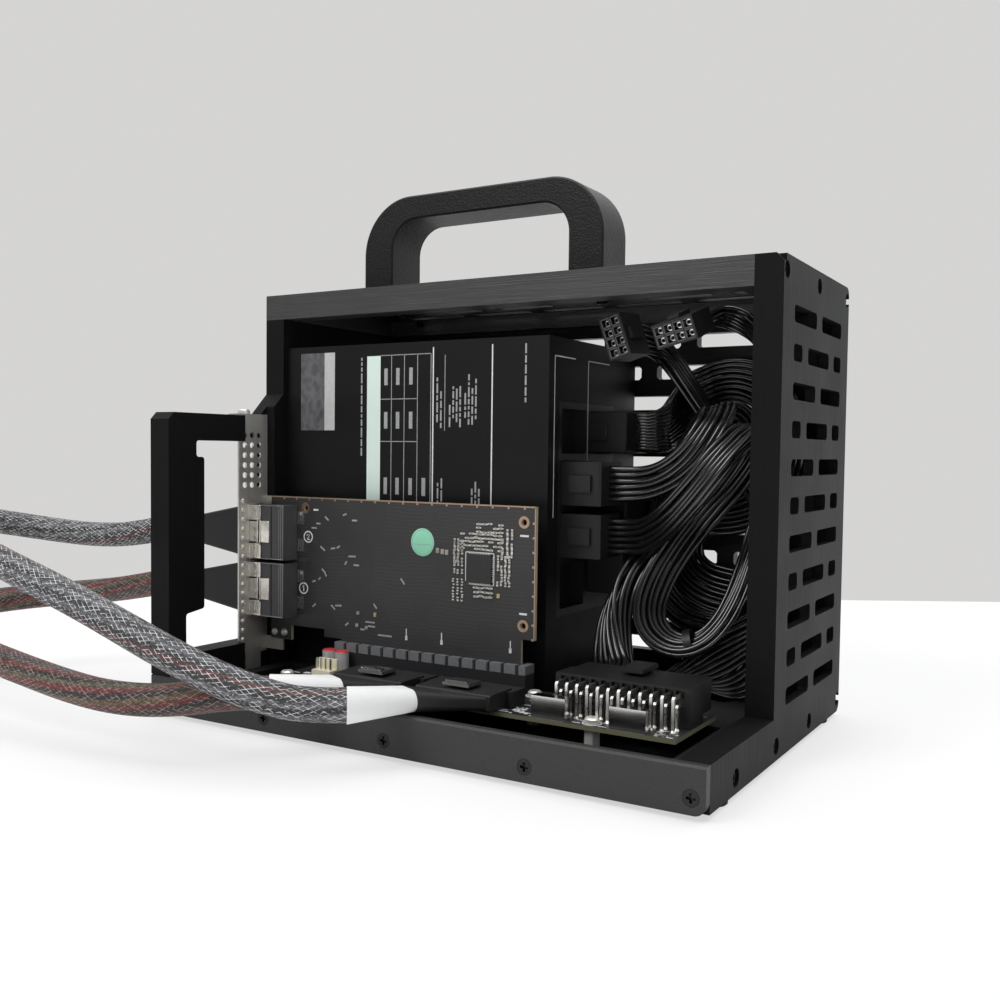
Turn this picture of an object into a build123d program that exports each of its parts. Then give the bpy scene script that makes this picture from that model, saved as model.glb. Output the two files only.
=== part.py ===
from build123d import *
import os
from math import cos, pi, radians, sin, tan

# External graphics card enclosure. Millimetres, +Z up, -Y is the open front, -X is the side where the
# adapter card's bracket looks out. The origin is on the table, under the middle of the case.

# Panels
foot_height = 2.0
foot_diameter = 10.0
side_thickness = 11.0
base_thickness = 11.0
top_thickness = 11.5
rear_thickness = 6.0
floor_thickness = 4.0
web_thickness = 4.0
rim_width = 8.0
bar_thickness = 3.5
bar_height = 16.0
gusset = 11.0
window_radius = 1.4
corner_radius = 4.0
edge_chamfer = 3.0

# Staggered vent slots
vent_length = 31.5
vent_height = 6.5
vent_bar = 8.0
vent_row_pitch = 14.4
vent_corner = 1.2
side_vent_rows = 11
rear_vent_columns = 5
top_vent_columns = 5
top_vent_rows = 5

# Power supply
psu_depth = 86.0
psu_height = 150.0
psu_sheet = 1.0
psu_setback = 3.0
psu_head_gap = 13.5
fan_gap = 3.0
fan_size = 120.0
fan_depth = 25.0
fan_wall = 2.0
fan_inlet_gap = 11.0
fan_socket_gap = 2.0
fan_hub = 40.0
fan_blades = 9
fan_tip_gap = 1.5
grille_wire = 1.8
grille_rings = 4
socket_depth = 9.0
socket_size = (22.0, 19.0)
socket_pitch = (26.0, 22.0)
socket_wall = 3.0
long_socket_height = 54.0
inlet_size = (27.0, 20.0)
inlet_depth = 22.0
switch_size = (13.0, 19.0)
switch_wall = 1.5
switch_tilt = 9.0
transformer_size = 32.0

# Dock board and the row of things on it
board_length = 185.0
board_depth = 40.0
board_thickness = 1.6
board_left_gap = 33.0
board_right_gap = 10.0
board_back_gap = 6.0
board_lift = 9.7
cable_trench = 23.5

# Slot and adapter card
slot_length = 99.0
slot_width = 7.5
slot_height = 11.2
slot_left_gap = 42.0
slot_back_inset = 5.2
slot_blocks = 14
slot_groove_depth = 8.0
card_length = 142.5
card_top_above_board = 75.7
card_body_above_slot = 10.3
card_thickness = 1.6
bracket_width = 18.4
bracket_sheet = 0.9
bracket_recess = 5.0
bracket_card_gap = 5.1
port_height = 25.0
port_pitch = 26.6
port_depth = 9.0
port_reach = 4.0
port_length = 26.0
port_drop = 16.4
ledge_above_card = 37.2
chip_size = 12.0
chip_height = 1.2
chip_from_end = 26.5

# Link plugs on the dock board
link_width = 34.0
link_pitch = 41.0
link_first_x = 55.5
link_height = 6.4
link_head_length = 16.0
link_boot_length = 16.0
link_socket_width = 39.0
link_socket_length = 10.0
latch_width = 12.0
latch_length = 9.0
latch_thickness = 1.2

# Host cables: plugs at the card, white sleeves at the link plugs
host_cable_diameter = 12.4
card_plug_reach = 34.0
card_boot_length = 27.0
boot_end_size = (15.0, 8.4)
boot_turn = 25.0
boot_shift = (-2.5, -9.0)
sleeve_length = 28.0
sleeve_turn = 50.0
sleeve_drift = (-8.0, -6.0)

# Power leads
lead_diameter = 10.0
harness_diameter = 14.0
lead_plug_length = 24.0
loose_plug_length = 20.0
tie_width = 3.2

# Power header, 24 ways
pin_pitch = 4.2
pin_columns = 12
pin_size = 1.1
header_height = 14.5
header_length = 13.0
header_wall = 1.8
header_front_inset = 15.0
plug_length = 12.0

# Metal cans at the front edge of the dock board
can_size = (14.0, 4.6, 8.2)
can_sheet = 0.4
can_pitch = 31.6
can_front_inset = 0.6

# Carry handle
handle_width = 130.0
handle_height = 49.0
handle_depth = 24.0
handle_leg = 17.0
handle_bar = 11.0
handle_outer_radius = 27.0
handle_inner_radius = 14.0
handle_offset = -30.0

# Fasteners
screw_radius = 1.5
screw_head_radius = 2.8
screw_head_height = 2.2
screw_length = 14.0
screw_drive = 2.5
screw_drive_depth = 1.3
screw_play = 0.12
head_play = 0.4
head_sink = 3.2

# General clearances
play = 0.3

# Levels and faces worked out from the sizes above
fan_bore = fan_size - 2 * fan_wall
psu_length = fan_inlet_gap + fan_size + fan_socket_gap + socket_depth
inner_width = board_left_gap + board_length + board_right_gap
case_width = inner_width + 2 * side_thickness
box_depth = psu_setback + psu_depth + fan_gap + rear_thickness
bay_depth = bar_thickness + cable_trench + board_depth + board_back_gap - psu_setback
case_depth = box_depth + bay_depth
case_height = base_thickness + psu_height + psu_head_gap + top_thickness
x_left = -case_width / 2
x_right = case_width / 2
x_in_left = x_left + side_thickness
x_in_right = x_right - side_thickness
y_front = -case_depth / 2
y_back = case_depth / 2
y_bar = y_front + bar_thickness
y_box = y_front + bay_depth
y_rear = y_back - rear_thickness
z_base = foot_height
z_floor = z_base + floor_thickness
z_deck = z_base + base_thickness
z_bar = z_base + bar_height
z_top = z_base + case_height
z_lid = z_top - top_thickness

psu_x = (x_in_left, x_in_left + psu_length)
psu_y = (y_box + psu_setback, y_box + psu_setback + psu_depth)
psu_z = (z_deck, z_deck + psu_height)

board_x = (x_in_left + board_left_gap, x_in_left + board_left_gap + board_length)
board_y = (y_bar + cable_trench, y_bar + cable_trench + board_depth)
board_z = (z_floor + board_lift, z_floor + board_lift + board_thickness)
slot_x = (x_in_left + slot_left_gap, x_in_left + slot_left_gap + slot_length)
slot_y = board_y[1] - slot_back_inset
slot_z = (board_z[1], board_z[1] + slot_height)
card_y = (slot_y - card_thickness / 2, slot_y + card_thickness / 2)
bracket_x = (x_in_left - bracket_recess, x_in_left - bracket_recess + bracket_sheet)
bracket_y = (card_y[1] + bracket_sheet - bracket_width, card_y[1] + bracket_sheet)
card_x = (bracket_x[1] + bracket_card_gap, bracket_x[1] + bracket_card_gap + card_length)
card_z = (slot_z[1] + card_body_above_slot, board_z[1] + card_top_above_board)
port_z = [card_z[1] - port_drop, card_z[1] - port_drop - port_pitch]
ledge_z = card_z[1] + ledge_above_card


def block(x, y, z):
    """Box between a low and a high value on each axis."""
    size = Box(x[1] - x[0], y[1] - y[0], z[1] - z[0])
    return Pos((x[0] + x[1]) / 2, (y[0] + y[1]) / 2, (z[0] + z[1]) / 2) * size


def side_plane(x):
    """Plane across the case, drawn in Y and Z, that faces +X."""
    return Plane(origin=(x, 0, 0), x_dir=(0, 1, 0), z_dir=(1, 0, 0))


def front_plane(y):
    """Plane along the case, drawn in X and Z, that faces the open front."""
    return Plane(origin=(0, y, 0), x_dir=(1, 0, 0), z_dir=(0, -1, 0))


def level_plane(z):
    """Level plane, drawn in X and Y, that faces up."""
    return Plane(origin=(0, 0, z))


def prism(plane, points, depth):
    """Closed outline on a plane, carried straight along the plane's normal."""
    return extrude(plane * make_face(Polyline(*points, close=True)), amount=depth)


def rod(start, axis, radius, length):
    """Round bar that starts at a point and runs along an axis."""
    return extrude(Plane(origin=start, z_dir=axis) * Circle(radius), amount=length)


def screw(seat, axis, length=screw_length):
    """Pan head screw with a hexagon drive: the head stands on its seat, the shank runs the other way."""
    back = tuple(-value for value in axis)
    head = rod(seat, axis, screw_head_radius, screw_head_height)
    head = chamfer(head.edges().filter_by(GeomType.CIRCLE).sort_by(Axis(seat, axis))[-1], 0.6)
    crown = tuple(Vector(*seat) + Vector(*axis) * screw_head_height)
    hexagon = RegularPolygon(screw_drive / 2, 6, major_radius=False)
    head -= extrude(Plane(origin=crown, z_dir=back) * hexagon, amount=screw_drive_depth)
    return head + rod(seat, back, screw_radius, length)


def screw_bore(seat, axis, length=screw_length):
    """Room for one screw: a shank hole below its seat and a head pocket above it."""
    back = tuple(-value for value in axis)
    shank = rod(seat, back, screw_radius + screw_play, length + play)
    return shank + rod(seat, axis, screw_head_radius + head_play, head_sink + side_thickness)


def vent_rects(u_range, v_top, rows, blocked=()):
    """Staggered rows of slots: each row is half a pitch along from the last, cut off at the field ends."""
    pitch = vent_length + vent_bar
    slots = []
    for row in range(rows):
        v = v_top - row * vent_row_pitch
        low = u_range[0] - (row % 2) * pitch / 2
        while low < u_range[1] - vent_height:
            span = (max(low, u_range[0]), min(low + vent_length, u_range[1]))
            over = [box for box in blocked if span[0] < box[1] and span[1] > box[0]]
            hit = [box for box in over if v - vent_height / 2 < box[3] and v + vent_height / 2 > box[2]]
            if not hit:
                slot = Rectangle(span[1] - span[0], vent_height)
                slots.append(Pos((span[0] + span[1]) / 2, v) * chamfer(slot.vertices(), vent_corner))
            low += pitch
    return slots


# Where each panel screw's head is seated, and the way the head points
edge_z = z_base + base_thickness / 2
crown_z = z_top - top_thickness / 2
post_x = x_left + side_thickness / 2
back_y = y_back - rear_thickness / 2
side_screw_y = [y_bar + 25.0, y_box + rim_width / 2, (psu_y[0] + psu_y[1]) / 2 + 3.0]
right_screws = [((x_right - head_sink, y, edge_z), (1, 0, 0)) for y in side_screw_y + [back_y]]
right_screws += [((x_right - head_sink, y, crown_z), (1, 0, 0)) for y in side_screw_y[1:] + [back_y]]
left_screws = [((x_left + head_sink, y, edge_z), (-1, 0, 0)) for y in side_screw_y]
crown_screws = [((post_x, y, z_top - head_sink), (0, 0, 1)) for y in side_screw_y[1:]]
rear_head_sink = head_sink - 0.6
rear_screws = [((x, y_back - rear_head_sink, z), (0, 1, 0)) for x in (x_in_left + 20, x_in_right - 20)
               for z in (edge_z, crown_z)]
rear_screws += [((post_x, y_back - rear_head_sink, z), (0, 1, 0)) for z in (z_base + 25, z_lid - 25)]
panel_screw_seats = right_screws + left_screws + crown_screws + rear_screws
panel_bores = [screw_bore(seat, axis) for seat, axis in panel_screw_seats]

# Front bar screws, sunk flush
bar_screw_count = 5
bar_screw_inset = 5.0
bar_screw_step = (case_width - 2 * bar_screw_inset) / (bar_screw_count - 1)
bar_screw_x = [x_left + bar_screw_inset + step * bar_screw_step for step in range(bar_screw_count)]
bar_head_depth = 2.0


def sunk_screw(x):
    """Countersunk screw with a flush head and a cross recess in it."""
    cone = Plane(origin=(x, y_front, edge_z), z_dir=(0, 1, 0)) * Cone(
        screw_head_radius, screw_radius, bar_head_depth, align=(Align.CENTER, Align.CENTER, Align.MIN))
    shank = rod((x, y_front + bar_head_depth, edge_z), (0, 1, 0), screw_radius, screw_length - bar_head_depth)
    arm = (0.5, 1.6)
    cross = block((x - arm[1], x + arm[1]), (y_front, y_front + 1.2), (edge_z - arm[0], edge_z + arm[0]))
    cross += block((x - arm[0], x + arm[0]), (y_front, y_front + 1.2), (edge_z - arm[1], edge_z + arm[1]))
    return cone + shank - cross


def sunk_bore(x):
    """Countersink and shank hole for one front bar screw."""
    wide = screw_head_radius + screw_play
    cone = Plane(origin=(x, y_front, edge_z), z_dir=(0, 1, 0)) * Cone(
        wide, screw_radius + screw_play, bar_head_depth, align=(Align.CENTER, Align.CENTER, Align.MIN))
    return cone + rod((x, y_front, edge_z), (0, 1, 0), screw_radius + screw_play, screw_length + play)


bar_bores = [sunk_bore(x) for x in bar_screw_x]

# Board screws stand on hollow standoffs at these places
standoff_inset = 4.8
standoff_places = [
    (board_x[0] + standoff_inset, board_y[0] + standoff_inset),
    (board_x[0] + standoff_inset, board_y[1] - standoff_inset),
    (slot_x[1] + 4.6, slot_y - slot_width / 2),
    (board_x[1] - 34.0, board_y[0] + standoff_inset),
]
standoff_flats = 5.5

# The power supply is held by four screws in its inlet face, on the usual hole places
psu_hole_inset = 6.0
psu_hole_high = (psu_depth - psu_hole_inset, psu_height - psu_hole_inset)
psu_hole_places = [(16.0, psu_hole_inset), (psu_hole_high[0], psu_hole_inset), psu_hole_high,
                   (psu_hole_inset, psu_height - 30.0)]
psu_screw_seat = 3.0
psu_screw_x = x_in_left - psu_screw_seat
psu_screw_seats = [((psu_screw_x, psu_y[0] + y, psu_z[0] + z), (-1, 0, 0)) for y, z in psu_hole_places]
psu_bores = [screw_bore(seat, axis, 8.0) for seat, axis in psu_screw_seats]

# Handle legs and the screws that come up into them through the top panel
handle_x = (handle_offset - handle_width / 2, handle_offset + handle_width / 2)
handle_mid_y = (y_box + y_back) / 2
handle_y = (handle_mid_y - handle_depth / 2, handle_mid_y + handle_depth / 2)
leg_x = [handle_x[0] + handle_leg / 2, handle_x[1] - handle_leg / 2]
handle_screw_spread = 6.0
handle_screw_seats = [((x, handle_mid_y + side * handle_screw_spread, z_top - web_thickness), (0, 0, -1))
                      for x in leg_x for side in (-1, 1)]
handle_bores = [screw_bore(seat, axis, 12.0) for seat, axis in handle_screw_seats]


def base_tray():
    """Deep tray: a rim all round, a cross rib that the power supply's front edge stands on, two pockets."""
    tray = block((x_in_left, x_in_right), (y_bar, y_rear), (z_base, z_deck))
    rib = (psu_y[0] - 5.0, psu_y[0] + 5.0)
    wide = (x_in_left + rim_width, x_in_right - rim_width)
    tray -= block(wide, (y_bar + rim_width, rib[0]), (z_floor, z_deck))
    tray -= block(wide, (rib[1], psu_y[1] - rim_width), (z_floor, z_deck))
    return tray - panel_bores - bar_bores


def front_bar():
    """Low bar across the open front, rounded at its two lower corners."""
    plate = block((x_left, x_right), (y_front, y_bar), (z_base, z_bar))
    lower = plate.edges().filter_by(Axis.Y).group_by(Axis.Z)[0]
    plate = fillet(lower, corner_radius)
    upper = plate.edges().filter_by(Axis.X).group_by(Axis.Z)[-1].sort_by(Axis.Y)[0]
    return chamfer(upper, 0.8) - bar_bores


def left_panel():
    """Side with the card window: a low front arm for the bracket, a tall part beside the power supply."""
    face = [(y_bar, z_base), (y_rear, z_base), (y_rear, z_lid), (y_box, z_lid), (y_box, ledge_z + gusset),
            (y_box - gusset, ledge_z), (y_front + edge_chamfer, ledge_z), (y_front, ledge_z - edge_chamfer),
            (y_front, z_bar), (y_bar, z_bar)]
    panel = prism(side_plane(x_left), face, side_thickness)
    window = prism(side_plane(x_left), card_window(), side_thickness)
    panel -= fillet(window.edges().filter_by(Axis.X), window_radius)
    inlet = block((x_left, x_in_left), (psu_y[0] + 11, psu_y[1] - 11), (psu_z[0] + 11, psu_z[1] - 11))
    panel -= fillet(inlet.edges().filter_by(Axis.X), corner_radius)
    channel = (bracket_y[0] - play, bracket_y[1] + play)
    panel -= block((bracket_x[0], x_in_left), channel, (z_deck - 1.5, ledge_z + gusset))
    return panel - panel_bores - bar_bores - psu_bores - bracket_bore()


def card_window():
    """Stepped window in the left arm, from its front post back to the card's ports."""
    post = y_front + 20.0
    foot = (z_bar + 7.7, z_bar + 26.8)
    head = (ledge_z - 19.0, ledge_z - 11.8)
    back = bracket_y[1] - 1.5
    return [(post - 10.4, foot[0]), (back, foot[0]), (back, head[1]), (post - 4.5, head[1]),
            (post - 4.5, head[0]), (post, head[0]), (post, foot[1]), (post - 10.4, foot[1] - 1.5)]


def right_panel():
    """Vented side: thick at its front edge and foot, thin behind the slots, with a low arm to the bar."""
    face = [(y_bar, z_base), (y_back, z_base), (y_back, z_top), (y_box, z_top), (y_box, z_bar),
            (y_bar, z_bar)]
    panel = prism(side_plane(x_in_right), face, side_thickness)
    back = panel.edges().filter_by(Axis.X).group_by(Axis.Y)[-1]
    panel = fillet(back, corner_radius)
    panel -= block((x_in_right, x_right - web_thickness), (y_box + side_thickness, y_rear - 2.0),
                   (z_deck, z_lid))
    first = y_box + side_thickness + 3.5
    field = (first, first + 2 * vent_length + vent_bar)
    slots = vent_rects(field, z_top - 20.2, side_vent_rows)
    panel -= [extrude(side_plane(x_in_right) * slot, amount=side_thickness) for slot in slots]
    nose = [(x_right, z_top), (x_right, z_top - edge_chamfer), (x_right - edge_chamfer, z_top)]
    panel -= prism(front_plane(y_box + edge_chamfer), nose, edge_chamfer)
    return panel - panel_bores - bar_bores


def rear_panel():
    """Vented back plate between the right panel and the left edge, behind the power supply's fan."""
    plate = block((x_left, x_in_right), (y_rear, y_back), (z_base, z_top))
    reach = rear_vent_columns * (vent_length + vent_bar) - vent_bar
    mid = (x_left + x_in_right) / 2
    slots = vent_rects((mid - reach / 2, mid + reach / 2), z_top - 20.2, side_vent_rows)
    plate -= [extrude(front_plane(y_back) * slot, amount=rear_thickness) for slot in slots]
    return plate - panel_bores


def top_panel():
    """Lid: a deep rim all round and a thin vented web, solid where the handle's legs stand."""
    lid = block((x_left, x_in_right), (y_box, y_rear), (z_lid, z_top))
    lid -= block((x_in_left, x_in_right - rim_width), (y_box + side_thickness, y_rear - rim_width),
                 (z_lid, z_top - web_thickness))
    margin = vent_corner
    half = handle_leg / 2 + margin
    legs = [(x - half, x + half, handle_y[0] - margin, handle_y[1] + margin) for x in leg_x]
    reach = top_vent_columns * (vent_length + vent_bar) - vent_bar
    first = handle_mid_y + (top_vent_rows - 1) / 2 * vent_row_pitch
    slots = vent_rects((-reach / 2, reach / 2), first, top_vent_rows, legs)
    lid -= [extrude(level_plane(z_lid) * slot, amount=top_thickness) for slot in slots]
    return lid - panel_bores - handle_bores


def carry_handle():
    """Flat bow with large outer corners, cut from one thick piece."""
    high = z_top + handle_height
    bow = block(handle_x, handle_y, (z_top, high))
    bow = fillet(bow.edges().filter_by(Axis.Y).group_by(Axis.Z)[-1], handle_outer_radius)
    gap = block((handle_x[0] + handle_leg, handle_x[1] - handle_leg), handle_y, (z_top, high - handle_bar))
    bow -= fillet(gap.edges().filter_by(Axis.Y).group_by(Axis.Z)[-1], handle_inner_radius)
    rims = bow.faces().filter_by(Axis.Y).edges().filter_by(lambda edge: edge.center().Z > z_top + 1)
    return chamfer(rims, 0.8) - handle_bores


def rubber_feet():
    """Four round pads under the two side panels."""
    inset = 18.0
    feet = []
    for x in (x_left + side_thickness / 2, x_right - side_thickness / 2):
        for y in (y_bar + inset, y_back - inset):
            pad = rod((x, y, 0), (0, 0, 1), foot_diameter / 2, foot_height)
            feet.append(chamfer(pad.edges().group_by(Axis.Z)[0], 0.5))
    return feet


def board_standoffs():
    """Hexagonal standoffs from the tray's floor to the underside of the dock board."""
    hexagon = RegularPolygon(standoff_flats / 2, 6, major_radius=False)
    bore = Circle(screw_radius + screw_play)
    posts = []
    for x, y in standoff_places:
        post = extrude(level_plane(z_floor) * Pos(x, y) * hexagon, amount=board_lift)
        posts.append(post - extrude(level_plane(board_z[0]) * Pos(x, y) * bore, amount=-board_lift + 1.5))
    return posts


def board_screws():
    """Screws that clamp the dock board on its standoffs."""
    return [screw((x, y, board_z[1]), (0, 0, 1), board_thickness + 5.0) for x, y in standoff_places]


def dock_board():
    """Dock circuit board, bored over the standoffs."""
    board = block(board_x, board_y, board_z)
    holes = [rod((x, y, board_z[0]), (0, 0, 1), screw_radius + screw_play, board_thickness)
             for x, y in standoff_places]
    return board - holes


groove_x = (slot_x[0] + 1.0, slot_x[1] - 3.2)
groove_floor = slot_z[1] - slot_groove_depth
key_x = (groove_x[0] + 13.0, groove_x[0] + 14.6)


def pcie_slot():
    """Long edge connector: a grooved body with a key rib and a row of blocks along each lip."""
    body = block(slot_x, (slot_y - slot_width / 2, slot_y + slot_width / 2), slot_z)
    half = card_thickness / 2 + 0.1
    groove = block(groove_x, (slot_y - half, slot_y + half), (groove_floor, slot_z[1]))
    body -= groove - block(key_x, (slot_y - half, slot_y + half), slot_z)
    pitch = (groove_x[1] - slot_x[0]) / slot_blocks
    notch = 1.6
    for step in range(1, slot_blocks + 1):
        x = slot_x[0] + step * pitch
        for y in (slot_y - slot_width / 2, slot_y + slot_width / 2):
            body -= block((x - notch, x), (y - 0.7, y + 0.7), (slot_z[1] - 3.6, slot_z[1]))
    return body


def card_board():
    """Adapter card: a low board with a tongue in the slot, a cut-out beside it and three small holes."""
    tongue = (groove_x[0] + 0.6, groove_x[1] - 0.6)
    low = groove_floor + 0.5
    foot = (card_z[0] - 12.8, card_z[0] - 5.8)
    neck = (card_x[0] + 12.5, slot_x[0] - 8.5)
    rest = slot_z[1] + 1.0
    face = [(card_x[0], foot[0]), (neck[0], foot[0]), (neck[0], foot[1]), (neck[1], foot[1]), (neck[1], rest),
            (tongue[0], rest), (tongue[0], low), (tongue[1], low), (tongue[1], card_z[0]),
            (card_x[1], card_z[0]), (card_x[1], card_z[1]), (card_x[0], card_z[1])]
    board = prism(front_plane(card_y[1]), face, card_thickness)
    board -= block((key_x[0] - 0.2, key_x[1] + 0.2), card_y, (low, slot_z[1] + 0.6))
    for x, z in ((card_x[0] + 21.0, card_z[1] - 5.0), (card_x[1] - 5.5, card_z[1] - 6.5),
                 (card_x[1] - 5.5, card_z[0] + 5.5)):
        board -= rod((x, card_y[0], z), (0, 1, 0), 1.3, card_thickness)
    return board


bracket_screw_x = (x_left + bracket_x[0]) / 2
bracket_screw_y = (bracket_y[0] + y_box - gusset) / 2


def bracket_bore():
    """Hole in the left arm's ledge for the bracket's one screw."""
    return rod((bracket_screw_x, bracket_screw_y, ledge_z), (0, 0, -1), screw_radius + screw_play, 10.0)


def card_bracket():
    """Folded bracket: pierced plate with two port windows, a foot, a screw tab and lugs for the card."""
    tab_top = ledge_z + bracket_sheet
    plate = block(bracket_x, bracket_y, (z_deck + 6.0, tab_top))
    plate += block(bracket_x, (bracket_y[0] + 4.2, bracket_y[1] - 4.2), (z_deck - 1.2, z_deck + 6.0))
    plate += block((x_left, bracket_x[1]), (bracket_y[0], y_box - gusset - play), (ledge_z, tab_top))
    for z in port_z:
        half = port_height / 2 + play
        window = (card_y[0] - port_depth - play, card_y[0] + play)
        plate -= block(bracket_x, window, (z - half, z + half))
    for z in (card_z[1] + 0.4, card_z[0] - 12.0):
        lug = (z, z + 6.0)
        plate += block((bracket_x[0], card_x[0] + 6.0), (card_y[1], card_y[1] + bracket_sheet),
                       (lug[0] - 6.5, lug[1] - 6.5))
    pitch = 4.6
    hole = 1.35
    for row in range(6):
        z = ledge_z - 9.0 - row * pitch
        for column in (-1, 0, 1):
            y = bracket_y[0] + bracket_width / 2 - 1.0 + column * pitch
            plate -= rod((bracket_x[0], y, z), (1, 0, 0), hole, bracket_sheet)
    hole = rod((bracket_screw_x, bracket_screw_y, ledge_z), (0, 0, 1), screw_radius + 0.4, bracket_sheet)
    return plate - hole


def card_port(z):
    """Cable port: a shell on the card's face that reaches out through the bracket, open at its mouth."""
    shell = block((bracket_x[0] - port_reach, bracket_x[0] - port_reach + port_length),
                  (card_y[0] - port_depth, card_y[0]), (z - port_height / 2, z + port_height / 2))
    mouth = (card_y[0] - port_depth + 1.2, card_y[0] - 1.2)
    half = port_height / 2 - 1.2
    shell -= block((bracket_x[0] - port_reach, bracket_x[0] + 6.0), mouth, (z - half, z + half))
    ridge = 0.8
    step = port_length / 4
    for x in (bracket_x[1] + step, bracket_x[1] + 2 * step):
        shell -= block((x, x + ridge), (card_y[0] - port_depth, card_y[0] - port_depth + 0.5),
                       (z - port_height / 2, z + port_height / 2))
    return shell


def card_plug(z):
    """Cable plug in a card port: a flat nose, a tapered boot and a round neck that the cable leaves."""
    mid = card_y[0] - port_depth / 2
    mouth_x = bracket_x[0] - port_reach
    nose_half = (port_depth / 2 - 1.2 - play, port_height / 2 - 1.2 - play)
    boot_x = (mouth_x - 1.0, mouth_x - 1.0 - card_boot_length)
    nose = block((boot_x[0], bracket_x[0] + 5.5), (mid - nose_half[0], mid + nose_half[0]),
                 (z - nose_half[1], z + nose_half[1]))
    wide = Plane(origin=(boot_x[0], mid, z), x_dir=(0, 1, 0), z_dir=(-1, 0, 0))
    neck_start = (boot_x[1], mid, z - 0.4)
    narrow = Plane(origin=neck_start, x_dir=(0, 1, 0), z_dir=(-1, 0, 0))
    boot = loft([wide * RectangleRounded(port_depth - 0.6, port_height - 1.4, 1.5),
                 narrow * RectangleRounded(port_depth + 1.0, host_cable_diameter + 1.5, 1.5)])
    neck_length = boot_x[1] - mouth_x + card_plug_reach
    neck = rod(neck_start, (-1, 0, 0), host_cable_diameter / 2 - 1.0, neck_length)
    return nose + boot + neck


link_y = (board_y[0] - 5.0, board_y[0] - 5.0 + link_head_length)
link_z = (board_z[1] + 0.5, board_z[1] + 0.5 + link_height)
link_x = [board_x[0] + link_first_x, board_x[0] + link_first_x + link_pitch]
boot_end_y = link_y[0] - link_boot_length
boot_end_z = z_bar + 4.9
sleeve_end_z = z_bar + 7.2


def link_socket(x):
    """Board socket that a link plug slides into from the front."""
    half = link_socket_width / 2
    y = (link_y[1] - 4.0, link_y[1] - 4.0 + link_socket_length)
    body = block((x - half, x + half), y, (board_z[1], link_z[1] - 0.6))
    mouth = link_width / 2 + 0.2
    return body - block((x - mouth, x + mouth), (y[0], link_y[1]), (link_z[0] - play, link_z[1]))


def turned_plane(origin, turn):
    """Upright plane that faces the front, turned towards the left by an angle."""
    turn = radians(turn)
    return Plane(origin=origin, x_dir=(cos(turn), -sin(turn), 0), z_dir=(-sin(turn), -cos(turn), 0))


def boot_end(x, shift):
    """Face where a link plug's boot ends and its white sleeve starts."""
    return turned_plane((x + shift, boot_end_y, boot_end_z), boot_turn)


def link_plug(x, shift):
    """Link plug: a flat head on the board and a boot that narrows and climbs towards the front bar."""
    head = block((x - link_width / 2, x + link_width / 2), link_y, link_z)
    head = chamfer(head.edges().filter_by(Axis.X).group_by(Axis.Y)[0], 0.6)
    wide = Plane(origin=(x, link_y[0], (link_z[0] + link_z[1]) / 2), x_dir=(1, 0, 0), z_dir=(0, -1, 0))
    boot = loft([wide * RectangleRounded(link_width - 3.0, link_height - 1.4, 1.2),
                 boot_end(x, shift) * RectangleRounded(*boot_end_size, 3.0)])
    rest = latch_place(x)
    half = latch_width / 2
    pad = block((x - half, x + half), (rest[1] - 2.0, rest[1]), (link_z[1], rest[2] - play / 2))
    return head + boot + pad


def latch_place(x):
    """Rear edge of a latch, over the back of its plug's head."""
    return (x, link_y[1] - 4.6, link_z[1] + 1.2)


def link_latch(x):
    """Sprung release lever on a link plug, raised at its free front edge."""
    rest = latch_place(x)
    half = latch_width / 2
    front = rest[1] - latch_length
    top = rest[2] + latch_thickness
    plate = block((x - half, x + half), (front, rest[1]), (rest[2], top))
    return plate + block((x - half + 1, x + half - 1), (front + 0.6, front + 3.0), (top, top + 0.8))


def link_sleeve(x, shift, drift):
    """White shrink sleeve from the boot over the front bar to where the braid starts."""
    far = turned_plane((x + shift + drift, boot_end_y - sleeve_length, sleeve_end_z), sleeve_turn)
    end_size = host_cable_diameter + 0.8
    near = boot_end(x, shift) * RectangleRounded(*boot_end_size, boot_end_size[1] / 2 - 0.1)
    return loft([near, far * RectangleRounded(end_size, end_size, end_size / 2 - 0.1)])


# Power header on the dock board: the pins come out at its front, the plug goes in from behind
header_x_mid = board_x[1] - 27.5
header_half = pin_columns * pin_pitch / 2 + header_wall
header_y = (board_y[0] + header_front_inset, board_y[0] + header_front_inset + header_length)
header_z = (board_z[1], board_z[1] + header_height)
pin_x = [header_x_mid + (column - (pin_columns - 1) / 2) * pin_pitch for column in range(pin_columns)]
pin_z = [board_z[1] + 8.4, board_z[1] + 12.0]
pin_drop_y = [header_y[0] - 3.0, header_y[0] - 6.4]
can_mid_x = header_x_mid - 6.7


def power_header():
    """Open-backed socket for the 24 way plug, ribbed between the pins along its front."""
    body = block((header_x_mid - header_half, header_x_mid + header_half), header_y, header_z)
    inside = header_half - header_wall + 0.6
    body -= block((header_x_mid - inside, header_x_mid + inside), (header_y[0] + 3.0, header_y[1]),
                  (header_z[0] + 2.0, header_z[1] - 2.0))
    for x in pin_x:
        gap = pin_pitch / 2 - 0.5
        body -= block((x - gap, x + gap), (header_y[0], header_y[0] + 1.4),
                      (header_z[1] - 3.4, header_z[1] - 0.8))
        for z in pin_z:
            body -= block((x - pin_size / 2, x + pin_size / 2), (header_y[0], header_y[0] + 3.0),
                          (z - pin_size / 2, z + pin_size / 2))
    return body


def power_pins():
    """Two rows of bent pins from the header down into the dock board."""
    pins = []
    for x in pin_x:
        for z, y in zip(pin_z, pin_drop_y):
            half = pin_size / 2
            root = header_y[0] + 3.0
            bend = [(y - half, board_z[1]), (y + half, board_z[1]), (y + half, z - half), (root, z - half),
                    (root, z + half), (y + 0.3, z + half), (y - half, z - 0.3)]
            pins.append(prism(side_plane(x - half), bend, pin_size))
    return pins


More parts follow.
